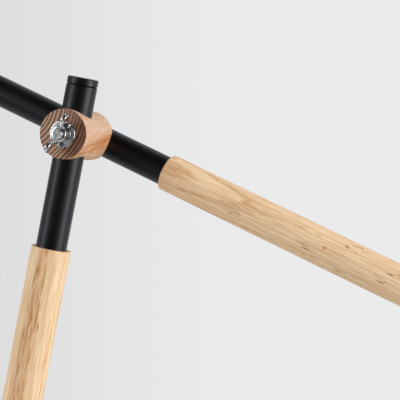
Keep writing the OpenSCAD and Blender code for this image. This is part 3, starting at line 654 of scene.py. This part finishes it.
sawn_end, tree, shader, where = new_finish("sawn_end", seen(196, 196, 196), 0.5, 1.0)
saw = speckle(tree, stretched(tree, where["Object"], (1.0, 0.4, 1.0)), 900, 4)
saw_tone = mixed(tree, eased(tree, saw, 0.35, 0.65), seen(140, 140, 140), seen(208, 208, 207))
join_up(tree, saw_tone, shader, "Base Color")
join_up(tree, spread(tree, saw, 0.3, 0.6), shader, "Roughness")
relief(tree, shader, saw, 0.12 * mm)
bolt.data.materials.append(sawn_end)
for face in bolt.data.polygons:
    face.material_index = 1 if face.center.z < bolt_end + bolt_point / 4 else 0

saddle_piece_r, neck_hole = 9 * mm, 4.35 * mm
form = bmesh.new()
turn_into(form, [
    (0, arm_mid.y, 0), (saddle_piece_r, arm_mid.y, 0.3 * mm), (saddle_piece_r, bolt_head_y, 0.5 * mm),
    (0, bolt_head_y, 0),
], sides=96)
square_hole = bmesh.new()
bar_into(square_hole, neck_hole, neck_hole, 0, 2 * bolt_head_y, 0.1 * mm, arm_turn)
lap = rod(saddle_r, -2 * block_r, 2 * block_r, to_block @ along_arm, 160)
saddle_piece = piece_from("bolt_saddle_piece", form, across_joint, [lap, square_hole])
fit(saddle_piece, "arm", "bright_zinc", zinc, "bolt_saddle")

# Wing nut. A die-cast nut with a conical hub and two thick wings that lean out and swell at their
# tips, all run together in soft fillets, bright zinc-plated. It clamps the washer on the block.
nut_seat, hub_h, hub_r, hub_top_r = 21.6 * mm, 8 * mm, 7.25 * mm, 6.25 * mm
wing_t, wing_turn = 3.3 * mm, 21
root, root_r, tip, tip_r = Vector((7, 4)) * mm, 3 * mm, Vector((12.9, 10.9)) * mm, 4.6 * mm


def slab_into(form, outline, low, high, edge, place=Matrix()):
    """Adds a plate cut to an outline in XY, from low to high, with its two rims eased."""
    slab = bmesh.new()
    face = slab.faces.new([slab.verts.new((x, y, low)) for x, y in outline])
    grown = bmesh.ops.extrude_face_region(slab, geom=[face])["geom"]
    lifted = [v for v in grown if isinstance(v, bmesh.types.BMVert)]
    bmesh.ops.translate(slab, verts=lifted, vec=(0, 0, high - low))
    bmesh.ops.recalc_face_normals(slab, faces=slab.faces)
    rims = [e for e in slab.edges if abs(e.verts[0].co.z - e.verts[1].co.z) < edge]
    bmesh.ops.bevel(slab, geom=rims, offset=edge, segments=3, profile=0.5, affect="EDGES")
    merge_into(form, slab, place)


def belt(centre, radius, far, far_r, steps=20):
    """The outline of two circles and the straight band that touches both."""
    gap = far - centre
    lean = math.atan2(gap.y, gap.x)
    turn = math.acos((radius - far_r) / gap.length)
    points = []
    for middle, r, start, sweep in ((far, far_r, lean - turn, 2 * turn),
                                    (centre, radius, lean + turn, 2 * math.pi - 2 * turn)):
        for k in range(steps + 1):
            a = start + sweep * k / steps
            points.append((middle.x + r * math.cos(a), middle.y + r * math.sin(a)))
    return points


on_washer = Matrix.Translation(joint - Vector((0, nut_seat, 0)))
on_washer = on_washer @ Matrix.Rotation(math.radians(wing_turn - 90), 4, "Y")
on_washer = on_washer @ Matrix.Rotation(math.radians(90), 4, "X")
form = bmesh.new()
turn_into(form, [
    (bolt_run, 0, 0), (hub_r, 0, 0.5 * mm), (hub_top_r, hub_h - 0.5 * mm, 1.2 * mm),
    (bolt_run, hub_h, 0.3 * mm),
], sides=96)
for side_turn in (0, 180):
    upright = Matrix.Rotation(math.radians(side_turn), 4, "Z") @ Matrix.Rotation(math.radians(90), 4, "X")
    slab_into(form, belt(root, root_r, tip, tip_r), -wing_t / 2, wing_t / 2, 0.8 * mm, upright)
wing_nut = piece_from("wing_nut_cast", form, on_washer, [rod(bolt_run, -2 * mm, 2 * hub_h)], 0.22 * mm)
fit(wing_nut, "wing_nut", "bright_zinc", zinc, "wing_nut")

# Arm tube. One length of 24 mm drawn steel tube, coated satin black, drilled for the bolt and set in
# the block's saddle.
arm_bore, arm_far, arm_butt = 10.8 * mm, -560 * mm, 471.5 * mm
to_arm = along_arm.inverted()
arm_drill = rod(bolt_fit, 0, arm_mid.y, to_arm @ across_joint)
square_drill = bmesh.new()
square_place = to_arm @ across_joint @ arm_turn
bar_into(square_drill, neck_hole, neck_hole, arm_mid.y, 2 * bolt_head_y, 0.1 * mm, square_place)
arm = tube("arm_tube_drawn", arm_r, arm_bore, arm_far, arm_butt, along_arm, (-10 * mm, 10 * mm),
           [arm_drill, square_drill])
fit(arm, "arm", "black_coat", black_coat, "arm_tube")

# Arm grip. A turned and bored tube of the same pale ash, slid over the end of the arm, with a softly
# rounded start. It is cut nearer the pith, so that one broad arch runs along its front, and a small knot
# shows beyond it.
grip_r, grip_bore, grip_start, grip_edge = 15 * mm, 12.05 * mm, 71.5 * mm, 1.2 * mm
grip_ash = ash_finish("grip_ash", pith=(-15.1 * mm, -31.6 * mm, 0), shift=(-7.5 * mm, -15.8 * mm, 0),
                      low=0.0, high=213 * mm, ring_width=12 * mm, phase=0.09, figure=0.6,
                      knot=(-2.4 * mm, -14.8 * mm, 220 * mm))
grip = wood_sleeve("arm_grip_ash", grip_r, grip_bore, grip_start, arm_butt, grip_edge, along_arm)
fit(grip, "arm", "ash", grip_ash, "arm_grip")

# End cap and cord gland. The cap is a turned steel disc with a plug in the tube, coated black. The
# gland is a moulded rubber bush pressed through it for the lead.
cap_end, cap_plug_r, end_plug, gland_hole = 477.5 * mm, 10.75 * mm, 18 * mm, 5.55 * mm
form = bmesh.new()
turn_into(form, [
    (gland_hole, arm_butt - end_plug, 0), (cap_plug_r, arm_butt - end_plug, 0.6 * mm),
    (cap_plug_r, arm_butt, 0), (grip_r, arm_butt, 0.3 * mm), (grip_r, cap_end, 1.5 * mm),
    (gland_hole, cap_end, 0),
], along_arm, 128)
fit(piece_from("arm_end_disc", form), "arm", "black_coat", black_coat, "arm_end_cap")

rubber, tree, shader, where = new_finish("gland_rubber", seen(30, 30, 31), 0.75)
bloom = speckle(tree, where["Object"], 700, 4)
join_up(tree, mixed(tree, bloom, seen(24, 24, 25), seen(44, 44, 45)), shader, "Base Color")
relief(tree, shader, bloom, 0.05 * mm)
gland_r, gland_bore, flange_r, flange_t = 5.5 * mm, 3.2 * mm, 8 * mm, 2.5 * mm
form = bmesh.new()
turn_into(form, [
    (gland_bore, arm_butt, 0.3 * mm), (gland_r, arm_butt, 0.3 * mm), (gland_r, cap_end, 0),
    (flange_r, cap_end, 0.2 * mm), (flange_r, cap_end + flange_t, 1 * mm),
    (gland_bore, cap_end + flange_t, 0.5 * mm),
], along_arm, 96)
fit(piece_from("cord_gland_bush", form), "arm", "gland_rubber", rubber, "cord_gland")

# Arm tip. A turned plug in the tube's far end, milled to a flat tongue with a round nose, drilled for
# the head's pivot. Coated black with the tube.
tip_plug, shoulder, pivot_reach = 25 * mm, 5 * mm, 589 * mm
tongue_half, tongue_t, pin_run = 8 * mm, 8 * mm, 3.08 * mm
form = bmesh.new()
turn_into(form, [
    (0, arm_far - shoulder, 0), (arm_r, arm_far - shoulder, 0.8 * mm), (arm_r, arm_far, 0.2 * mm),
    (cap_plug_r, arm_far, 0), (cap_plug_r, arm_far + tip_plug, 0.6 * mm), (0, arm_far + tip_plug, 0),
], along_arm, 128)


def strap(half_width, length, into, steps=24):
    """A strap's outline: a round nose at the origin and two straight sides up to its length."""
    nose = [math.pi + math.pi * k / steps for k in range(steps + 1)]
    points = [(half_width * math.cos(a), half_width * math.sin(a)) for a in nose]
    return points + [(half_width, length + into), (-half_width, length + into)]


nose_place = along_arm @ Matrix.Translation((0, 0, -pivot_reach))
nose_place = nose_place @ Matrix.Rotation(math.radians(90), 4, "X")
tongue_len = pivot_reach + arm_far - shoulder
slab_into(form, strap(tongue_half, tongue_len, 1 * mm), -tongue_t / 2, tongue_t / 2, 0.6 * mm, nose_place)
pin_drill = rod(pin_run, -2 * tongue_t, 2 * tongue_t, nose_place)
tongue = piece_from("arm_tip_tongue", form, cutters=[pin_drill], lapped=True)
fit(tongue, "arm", "black_coat", black_coat, "arm_tip")

# Head yoke and nipple. The yoke is two steel cheeks welded on a round base, either side of the arm's
# tongue, coated black. The nipple, a threaded steel tube through its base, clamps the wooden neck and the
# lampholder below.
at_head = Matrix.Translation(head_pivot)
cheek_in, cheek_out, cheek_half = 4.1 * mm, 8.1 * mm, 8 * mm
yoke_drop, yoke_low, yoke_r = 36 * mm, 42 * mm, 20 * mm
nipple_fit, pin_fit = 5.05 * mm, 3.05 * mm
form = bmesh.new()
turn_into(form, [
    (nipple_fit, -yoke_low, 0), (yoke_r, -yoke_low, 0.4 * mm), (yoke_r, -yoke_drop, 1 * mm),
    (nipple_fit, -yoke_drop, 0),
], sides=128)
head_down = Matrix.Rotation(math.radians(-90), 4, "X")
for low, high in ((cheek_in, cheek_out), (-cheek_out, -cheek_in)):
    slab_into(form, strap(cheek_half, yoke_drop, 1 * mm), low, high, 0.5 * mm, head_down)
pin_hole = rod(pin_fit, -2 * cheek_out, 2 * cheek_out, head_down)
yoke = piece_from("head_yoke_welded", form, at_head, [pin_hole], lapped=True)
fit(yoke, "head", "black_coat", black_coat, "head_yoke")
dress(plain_steel, "plain_steel", "head_nipple")

# Pivot pin and thumb nut. The pin is a turned screw with a low domed head behind the yoke. The nut on
# its front end has a fluted rim for the fingers. Both bright zinc-plated.
pin_r, pin_head_r, pin_head_h, pin_end, thumb_t = 3 * mm, 6.5 * mm, 3 * mm, -18.6 * mm, 9 * mm
pin_pitch, pin_thread, pin_point = 1 * mm, 0.5 * mm, 0.7 * mm
form = bmesh.new()
thread_into(form, pin_r, pin_thread, pin_pitch, pin_end, -cheek_out, pin_point, head_down)
turn_into(form, [
    (0, -cheek_out, 0), (pin_r, -cheek_out, 0), (pin_r, cheek_out, 0),
    *dome_points(pin_head_r, pin_head_h, cheek_out),
], head_down, 96)
fit(piece_from("pivot_screw", form, at_head), "head", "bright_zinc", zinc, "pivot_pin")

thumb_r, flute_r, flute_depth, flutes = 10 * mm, 1.4 * mm, 0.8 * mm, 16
flute_at = thumb_r + flute_r - flute_depth


def fluted(angle):
    """The nut's radius at an angle, on its rim or in one of its flutes."""
    from_flute = (angle * flutes / (2 * math.pi) + 0.5) % 1 - 0.5
    turn = from_flute * 2 * math.pi / flutes
    off_line = flute_at * math.sin(turn)
    if abs(off_line) >= flute_r:
        return thumb_r
    return min(thumb_r, flute_at * math.cos(turn) - math.sqrt(flute_r ** 2 - off_line ** 2))


angles = [2 * math.pi * k / (12 * flutes) for k in range(12 * flutes)]
form = bmesh.new()
rim = [(fluted(a) * math.cos(a), fluted(a) * math.sin(a)) for a in angles]
slab_into(form, rim, cheek_out, cheek_out + thumb_t, 0.4 * mm)
facing_front = at_head @ Matrix.Rotation(math.radians(90), 4, "X")
nut_bore = rod(pin_run, 0, 2 * thumb_t + cheek_out)
fit(piece_from("thumb_nut_fluted", form, facing_front, [nut_bore]), "thumb_nut", "bright_zinc", zinc,
    "thumb_nut")

# Head neck. A short turned cylinder of ash under the yoke, bored from below for the lampholder and
# from the front for the switch's shaft.
neck_r, neck_low, neck_edge, holder_top, holder_r = 22 * mm, 96 * mm, 1.5 * mm, 52 * mm, 18 * mm
holder_fit, switch_drop, shaft_r, shaft_room = 18.05 * mm, 70.25 * mm, 2.5 * mm, 0.3 * mm
neck_ash = ash_finish("neck_ash", pith=(30 * mm, 18 * mm, 0), shift=(6 * mm, 8 * mm, 0), low=-neck_low,
                      high=-yoke_low, ring_width=4.4 * mm, phase=0.0, figure=0.6)
form = bmesh.new()
turn_into(form, [
    (nipple_fit, -yoke_low, 0), (nipple_fit, -holder_top, 0), (holder_fit, -holder_top, 0),
    (holder_fit, -neck_low, 0), (neck_r - neck_edge, -neck_low, 0.4 * mm),
    (neck_r, -neck_low + neck_edge, 0.4 * mm), (neck_r, -yoke_low - neck_edge, 0.4 * mm),
    (neck_r - neck_edge, -yoke_low, 0.4 * mm),
], sides=128)
at_switch = Matrix.Translation((0, 0, -switch_drop)) @ Matrix.Rotation(math.radians(90), 4, "X")
switch_hole = rod(shaft_r + shaft_room, holder_r / 2, 2 * neck_r, at_switch)
fit(piece_from("head_neck_ash", form, at_head, [switch_hole]), "head", "ash", neck_ash, "head_neck")

# Lampholder and the ring that holds the shade. Both moulded in black plastic. The holder's skirt is
# threaded for the ring, whose rim is ribbed for the fingers.
plastic, tree, shader, where = new_finish("black_plastic", seen(26, 26, 27), 0.4)
mould = put(tree, "Group", {"Vector": where["Object"], "Scale": 2200.0}, node_tree=ripple).outputs
join_up(tree, mixed(tree, mould["Cloud"], seen(22, 22, 23), seen(34, 34, 35)), shader, "Base Color")
join_up(tree, spread(tree, mould["Cloud"], 0.34, 0.5), shader, "Roughness")
relief(tree, shader, mould["Height"], 0.03 * mm)
holder_low, cup_r, cup_top, nipple_end = 114.8 * mm, 14.0 * mm, 86.75 * mm, 60 * mm
ring_top, ring_low, ring_r, groove = 96.8 * mm, 102.8 * mm, 27 * mm, 0.5 * mm
shaft_run, shaft_hole_end = 0.08 * mm, 9.6 * mm
grooves = []
for k in range(5):
    z = -ring_low - 1.2 * mm - 2 * mm * k
    grooves += [(holder_r, z, 0), (holder_r - groove, z - 0.4 * mm, 0)]
    grooves += [(holder_r - groove, z - 0.8 * mm, 0), (holder_r, z - 1.2 * mm, 0)]
form = bmesh.new()
turn_into(form, [
    (0, -nipple_end, 0), (nipple_fit, -nipple_end, 0), (nipple_fit, -holder_top, 0),
    (holder_r, -holder_top, 0.4 * mm), *grooves, (holder_r, -holder_low, 0.5 * mm),
    (cup_r, -holder_low, 0.5 * mm), (cup_r, -cup_top, 0), (0, -cup_top, 0),
], sides=128)
shaft_hole = rod(shaft_r + shaft_run, shaft_hole_end, 2 * neck_r, at_switch)
holder = piece_from("lampholder_moulded", form, at_head, [shaft_hole])
fit(holder, "head", "black_plastic", plastic, "lampholder")

ribs, rib_depth = 48, 0.5 * mm
angles = [2 * math.pi * k / (8 * ribs) for k in range(8 * ribs)]
ribbed = [ring_r - rib_depth * (0.5 - 0.5 * math.cos(ribs * a)) for a in angles]
form = bmesh.new()
rim = [(r * math.cos(a), r * math.sin(a)) for r, a in zip(ribbed, angles)]
slab_into(form, rim, -ring_low, -ring_top, 0.6 * mm)
ring_bore = rod(holder_fit, -2 * ring_low, 0, sides=128)
fit(piece_from("shade_ring_ribbed", form, at_head, [ring_bore]), "head", "black_plastic", plastic,
    "shade_ring")

# Screw shell and centre contact. The shell is rolled from thin brass with the lamp's round thread in
# it, and a domed brass contact stands in the bottom of the cup.
brass = metal_finish("brass", seen(214, 178, 104), seen(184, 144, 78), 0.22, 0.4)
shell_in, shell_out, shell_low, shell_top = 13.35 * mm, 13.95 * mm, 112.8 * mm, 88.75 * mm
pitch, half_swell, steps = 3.6 * mm, 0.09 * mm, 56
wall = [-shell_low + (shell_low - shell_top) * k / steps for k in range(steps + 1)]
swell = [half_swell * (1 + math.cos(2 * math.pi * z / pitch)) for z in wall]
form = bmesh.new()
turn_into(form, [
    *[(shell_in + s, z, 0) for z, s in zip(wall, swell)],
    *[(shell_out - 2 * half_swell + s, z, 0) for z, s in zip(reversed(wall), reversed(swell))],
], sides=96)
fit(piece_from("screw_shell_rolled", form, at_head), "head", "brass", brass, "screw_shell")
contact_r, contact_h = 4.5 * mm, 2 * mm
form = bmesh.new()
turn_into(form, [(r, -cup_top - z, 0) for r, z, _ in [(0, 0, 0), *dome_points(contact_r, contact_h, 0)]])
fit(piece_from("centre_contact_dome", form, at_head), "head", "brass", brass, "centre_contact")

# Shade. A deep dome spun from 0.8 mm sheet with a flat crown and a rolled bead at its mouth, coated
# black outside and white inside, and clamped between the neck and the ring.
crown_r, mouth_r, shade_h, shade_wall, bead_r = 30 * mm, 125 * mm, 130 * mm, 0.8 * mm, 1.6 * mm
mouth_slope, shade_hole, curve_steps = math.radians(78), 18.3 * mm, 48
reach_out = (mouth_r - crown_r) / math.sin(mouth_slope)
reach_down = shade_h / (1 - math.cos(mouth_slope))


def shade_point(turn, inset):
    """A place on the shade's curve, drawn in by a wall's thickness for its inside."""
    out = Vector((reach_down * math.sin(turn), reach_out * math.cos(turn))).normalized()
    return (crown_r + reach_out * math.sin(turn) - inset * out.x,
            -neck_low - reach_down * (1 - math.cos(turn)) - inset * out.y, 0)


turns = [mouth_slope * k / curve_steps for k in range(curve_steps + 1)]
bead_x, bead_z = mouth_r - shade_wall / 2, -neck_low - shade_h
bead = [math.radians(60 - 300 * k / 20) for k in range(21)]
form = bmesh.new()
turn_into(form, [
    (shade_hole, -neck_low, 0), *[shade_point(t, 0) for t in turns[:-1]],
    *[(bead_x + bead_r * math.cos(a), bead_z + bead_r * math.sin(a), 0) for a in bead],
    *[shade_point(t, shade_wall) for t in reversed(turns[:-1])], (shade_hole, -neck_low - shade_wall, 0),
], sides=192)
shade = piece_from("shade_spun", form, at_head)
shade_coat = coat_finish("shade_coat", seen(8, 8, 9), seen(12, 12, 13), 0.36, 0.43, 0.02 * mm)
shade_lining = coat_finish("shade_lining", seen(232, 231, 226), seen(240, 239, 235), 0.42, 0.55, 0.03 * mm)
fit(shade, "head", "shade_coat", shade_coat, "shade")
shade.data.materials.append(shade_lining)
middle = Vector((0, 0, bead_z))
for face in shade.data.polygons:
    inward = face.normal.dot(face.center - middle) < 0
    face.material_index = 1 if inward and face.center.z > bead_z + bead_r else 0

# Bulb. A screw cap rolled from nickel-plated brass, cemented to a blown globe of opal glass. It screws
# into the holder's shell until its tip meets the centre contact.
bulb_metal = metal_finish("bulb_metal", seen(206, 204, 198), seen(176, 173, 166), 0.18, 0.34)
cap_r, cap_start, cap_length = 13.2 * mm, 88.8 * mm, 27 * mm
tip_r, tip_h, cone_h, half_ridge, steps = 4.5 * mm, 1.5 * mm, 7 * mm, 0.45 * mm, 80
wall = [cone_h + (cap_length - cone_h) * k / steps for k in range(steps + 1)]
ridge_end = cap_length - 1.5 * pitch
ridges = [half_ridge * (1 - math.cos(2 * math.pi * z / pitch)) if z < ridge_end else 0 for z in wall]
form = bmesh.new()
turn_into(form, [
    (0, -cap_start, 0), (tip_r, -cap_start, 0.4 * mm), (tip_r, -cap_start - tip_h, 0),
    *[(cap_r - ridge, -cap_start - z, 0) for z, ridge in zip(wall, ridges)],
    (0, -cap_start - cap_length, 0),
], sides=96)
fit(piece_from("bulb_screw_cap", form, at_head), "head", "bulb_metal", bulb_metal, "bulb_cap")

opal, tree, shader, where = new_finish("opal_glass", seen(240, 239, 234), 0.22)
haze = speckle(tree, where["Object"], 60, 3)
join_up(tree, mixed(tree, haze, seen(236, 235, 230), seen(246, 245, 241)), shader, "Base Color")
join_up(tree, spread(tree, haze, 0.16, 0.3), shader, "Roughness")
globe_r, globe_drop, join_angle, glass_low = 30 * mm, 164.8 * mm, math.radians(30), 115.8 * mm
glass_wall = 1 * mm
sweep = [-math.pi / 2 + (math.pi / 2 + join_angle) * k / 40 for k in range(41)]
globe = [(globe_r * math.cos(a), -globe_drop + globe_r * math.sin(a)) for a in sweep]
inside = (globe_r - glass_wall) / globe_r
inner = [(r * inside, -globe_drop + (z + globe_drop) * inside) for r, z in globe]
form = bmesh.new()
turn_into(form, [
    (0, -globe_drop - globe_r, 0), *[(r, z, 0) for r, z in globe[1:]], (cap_r, -glass_low, 0),
    (cap_r - glass_wall, -glass_low, 0), *[(r, z, 0) for r, z in reversed(inner[1:])],
    (0, -globe_drop - globe_r + glass_wall, 0),
], sides=128)
fit(piece_from("bulb_globe", form, at_head), "head", "bulb_glass", opal, "bulb_glass")

# Switch knob. A disc with a finger bar across it and a short shaft, moulded in one in black plastic. The
# shaft goes through the neck's front into the lampholder, where it turns the switch.
knob_r, knob_t, knob_seat, shaft_end = 8 * mm, 4 * mm, 22.4 * mm, 10 * mm
bar_half, bar_t, bar_h, bar_sunk = 7 * mm, 5 * mm, 8 * mm, 1 * mm
knob_face = knob_seat + knob_t
form = bmesh.new()
turn_into(form, [
    (0, shaft_end, 0), (shaft_r, shaft_end, 0.3 * mm), (shaft_r, knob_seat, 0),
    (knob_r, knob_seat, 0.3 * mm), (knob_r, knob_face, 1 * mm), (0, knob_face, 0),
], sides=96)
bar_into(form, bar_t / 2, bar_half, knob_face - bar_sunk, knob_face + bar_h, 0.9 * mm)
knob = piece_from("switch_knob_moulded", form, at_head @ at_switch)
fit(knob, "switch", "black_plastic", plastic, "switch_knob")

# Floor, light and camera. A pale floor that fades into a pale room, with a tall soft lamp on either side
# of the view, as in a small studio. The camera looks at the tilt joint from the front, a little from the
# right and from above.
azimuth, elevation, roll = math.radians(18.70), math.radians(4.32), math.radians(11.06)
distance, focal, middle_px = 1512.4 * mm, 1891.0, 200.0
joint_px = (72.68, 134.53)
flat_back = Vector((math.sin(azimuth), -math.cos(azimuth), 0))
back = flat_back * math.cos(elevation) + Vector((0, 0, math.sin(elevation)))
level = Vector((math.cos(azimuth), math.sin(azimuth), 0))
upright = back.cross(level)
image_right = level * math.cos(roll) + upright * math.sin(roll)
image_up = upright * math.cos(roll) - level * math.sin(roll)
camera = bpy.data.objects.new("camera", bpy.data.cameras.new("camera"))
bpy.context.scene.collection.objects.link(camera)
camera.data.sensor_width = 36.0
camera.data.lens = camera.data.sensor_width * focal / (2 * middle_px)
eye = joint + distance * (back - image_right * (joint_px[0] - middle_px) / focal
                          + image_up * (joint_px[1] - middle_px) / focal)
camera.matrix_world = Matrix.Translation(eye) @ Matrix((image_right, image_up, back)).transposed().to_4x4()
bpy.context.scene.camera = camera

floor_r, fade_r = 2.3, 0.9
form = bmesh.new()
bmesh.ops.create_circle(form, cap_ends=True, radius=floor_r, segments=128)
mesh = bpy.data.meshes.new("floor")
form.to_mesh(mesh)
form.free()
floor = bpy.data.objects.new("floor", mesh)
bpy.context.scene.collection.objects.link(floor)
floor_paint, tree, shader, where = new_finish("floor_paint", seen(226, 226, 226), 0.9)
centre_out = put(tree, "VectorMath", {0: where["Object"]}, operation="LENGTH").outputs["Value"]
fade = eased(tree, centre_out, fade_r, floor_r)
clear = put(tree, "BsdfTransparent")
blend = put(tree, "MixShader", {0: fade, 1: shader.outputs[0], 2: clear.outputs[0]})
tree.links.new(blend.outputs[0], tree.nodes["Material Output"].inputs["Surface"])
mesh.materials.append(floor_paint)

world = bpy.data.worlds.new("studio")
bpy.context.scene.world = world
world.use_nodes = True
tree = world.node_tree
tree.nodes.clear()
ray = put(tree, "LightPath").outputs
towards = put(tree, "TexCoord").outputs["Generated"]


def facing_along(direction):
    """How far a ray runs along a direction."""
    return put(tree, "VectorMath", {0: towards, 1: direction}, operation="DOT_PRODUCT").outputs["Value"]


wall_left, wall_right = seen(218, 218, 218), seen(235, 235, 236)
wall_colour = mixed(tree, eased(tree, facing_along(image_right), -0.17, 0.04), wall_left, wall_right)
behind = eased(tree, facing_along(-back), -0.1, 0.6)
away = sums(tree, "SUBTRACT", 1.0, eased(tree, facing_along(back), 0.62, 0.92))
steep = eased(tree, sums(tree, "ABSOLUTE", facing_along((0, 0, 1))), 0.2, 0.6)
lit = sums(tree, "MULTIPLY", away, sums(tree, "SUBTRACT", 1.0, steep))
to_right = eased(tree, facing_along(level), -0.5, 0.5)
lit_wall = mixed(tree, to_right, seen(186, 187, 190), seen(212, 213, 216))
front = mixed(tree, lit, seen(23, 27, 30), lit_wall)
mirrored = mixed(tree, behind, front, wall_colour)
shown = mixed(tree, ray["Is Camera Ray"], mirrored, wall_colour)
looked_at = sums(tree, "MAXIMUM", ray["Is Camera Ray"], ray["Is Glossy Ray"])
looked_at = sums(tree, "MAXIMUM", looked_at, ray["Is Transmission Ray"])
above = eased(tree, facing_along((0, 0, 1)), -0.7, 0.45)
fill = mixed(tree, above, seen(112, 112, 113), seen(204, 205, 207))
colour = mixed(tree, looked_at, fill, shown)
room = put(tree, "Background", {"Color": colour, "Strength": 1.0})
tree.links.new(room.outputs[0], put(tree, "OutputWorld").inputs["Surface"])


def soft_lamp(name, angle, away, height, width, tall, power):
    """A tall soft lamp, at an angle to the right of the view, turned to the tilt joint."""
    spot = flat_back * math.cos(angle) + level * math.sin(angle)
    lamp = bpy.data.objects.new(name, bpy.data.lights.new(name, "AREA"))
    bpy.context.scene.collection.objects.link(lamp)
    lamp.data.shape = "RECTANGLE"
    lamp.data.size, lamp.data.size_y, lamp.data.energy = width, tall, power
    lamp.location = joint + spot * away + Vector((0, 0, height))
    lamp.rotation_mode = "QUATERNION"
    lamp.rotation_quaternion = (lamp.location - joint).to_track_quat("Z", "Y")
    lamp.visible_camera = False


soft_lamp("right_lamp", math.radians(67), away=2.6, height=0.5, width=1.3, tall=1.9, power=53)
soft_lamp("left_lamp", math.radians(-68), away=2.6, height=0.3, width=0.5, tall=1.9, power=24)

bpy.context.scene.view_settings.view_transform = "Standard"
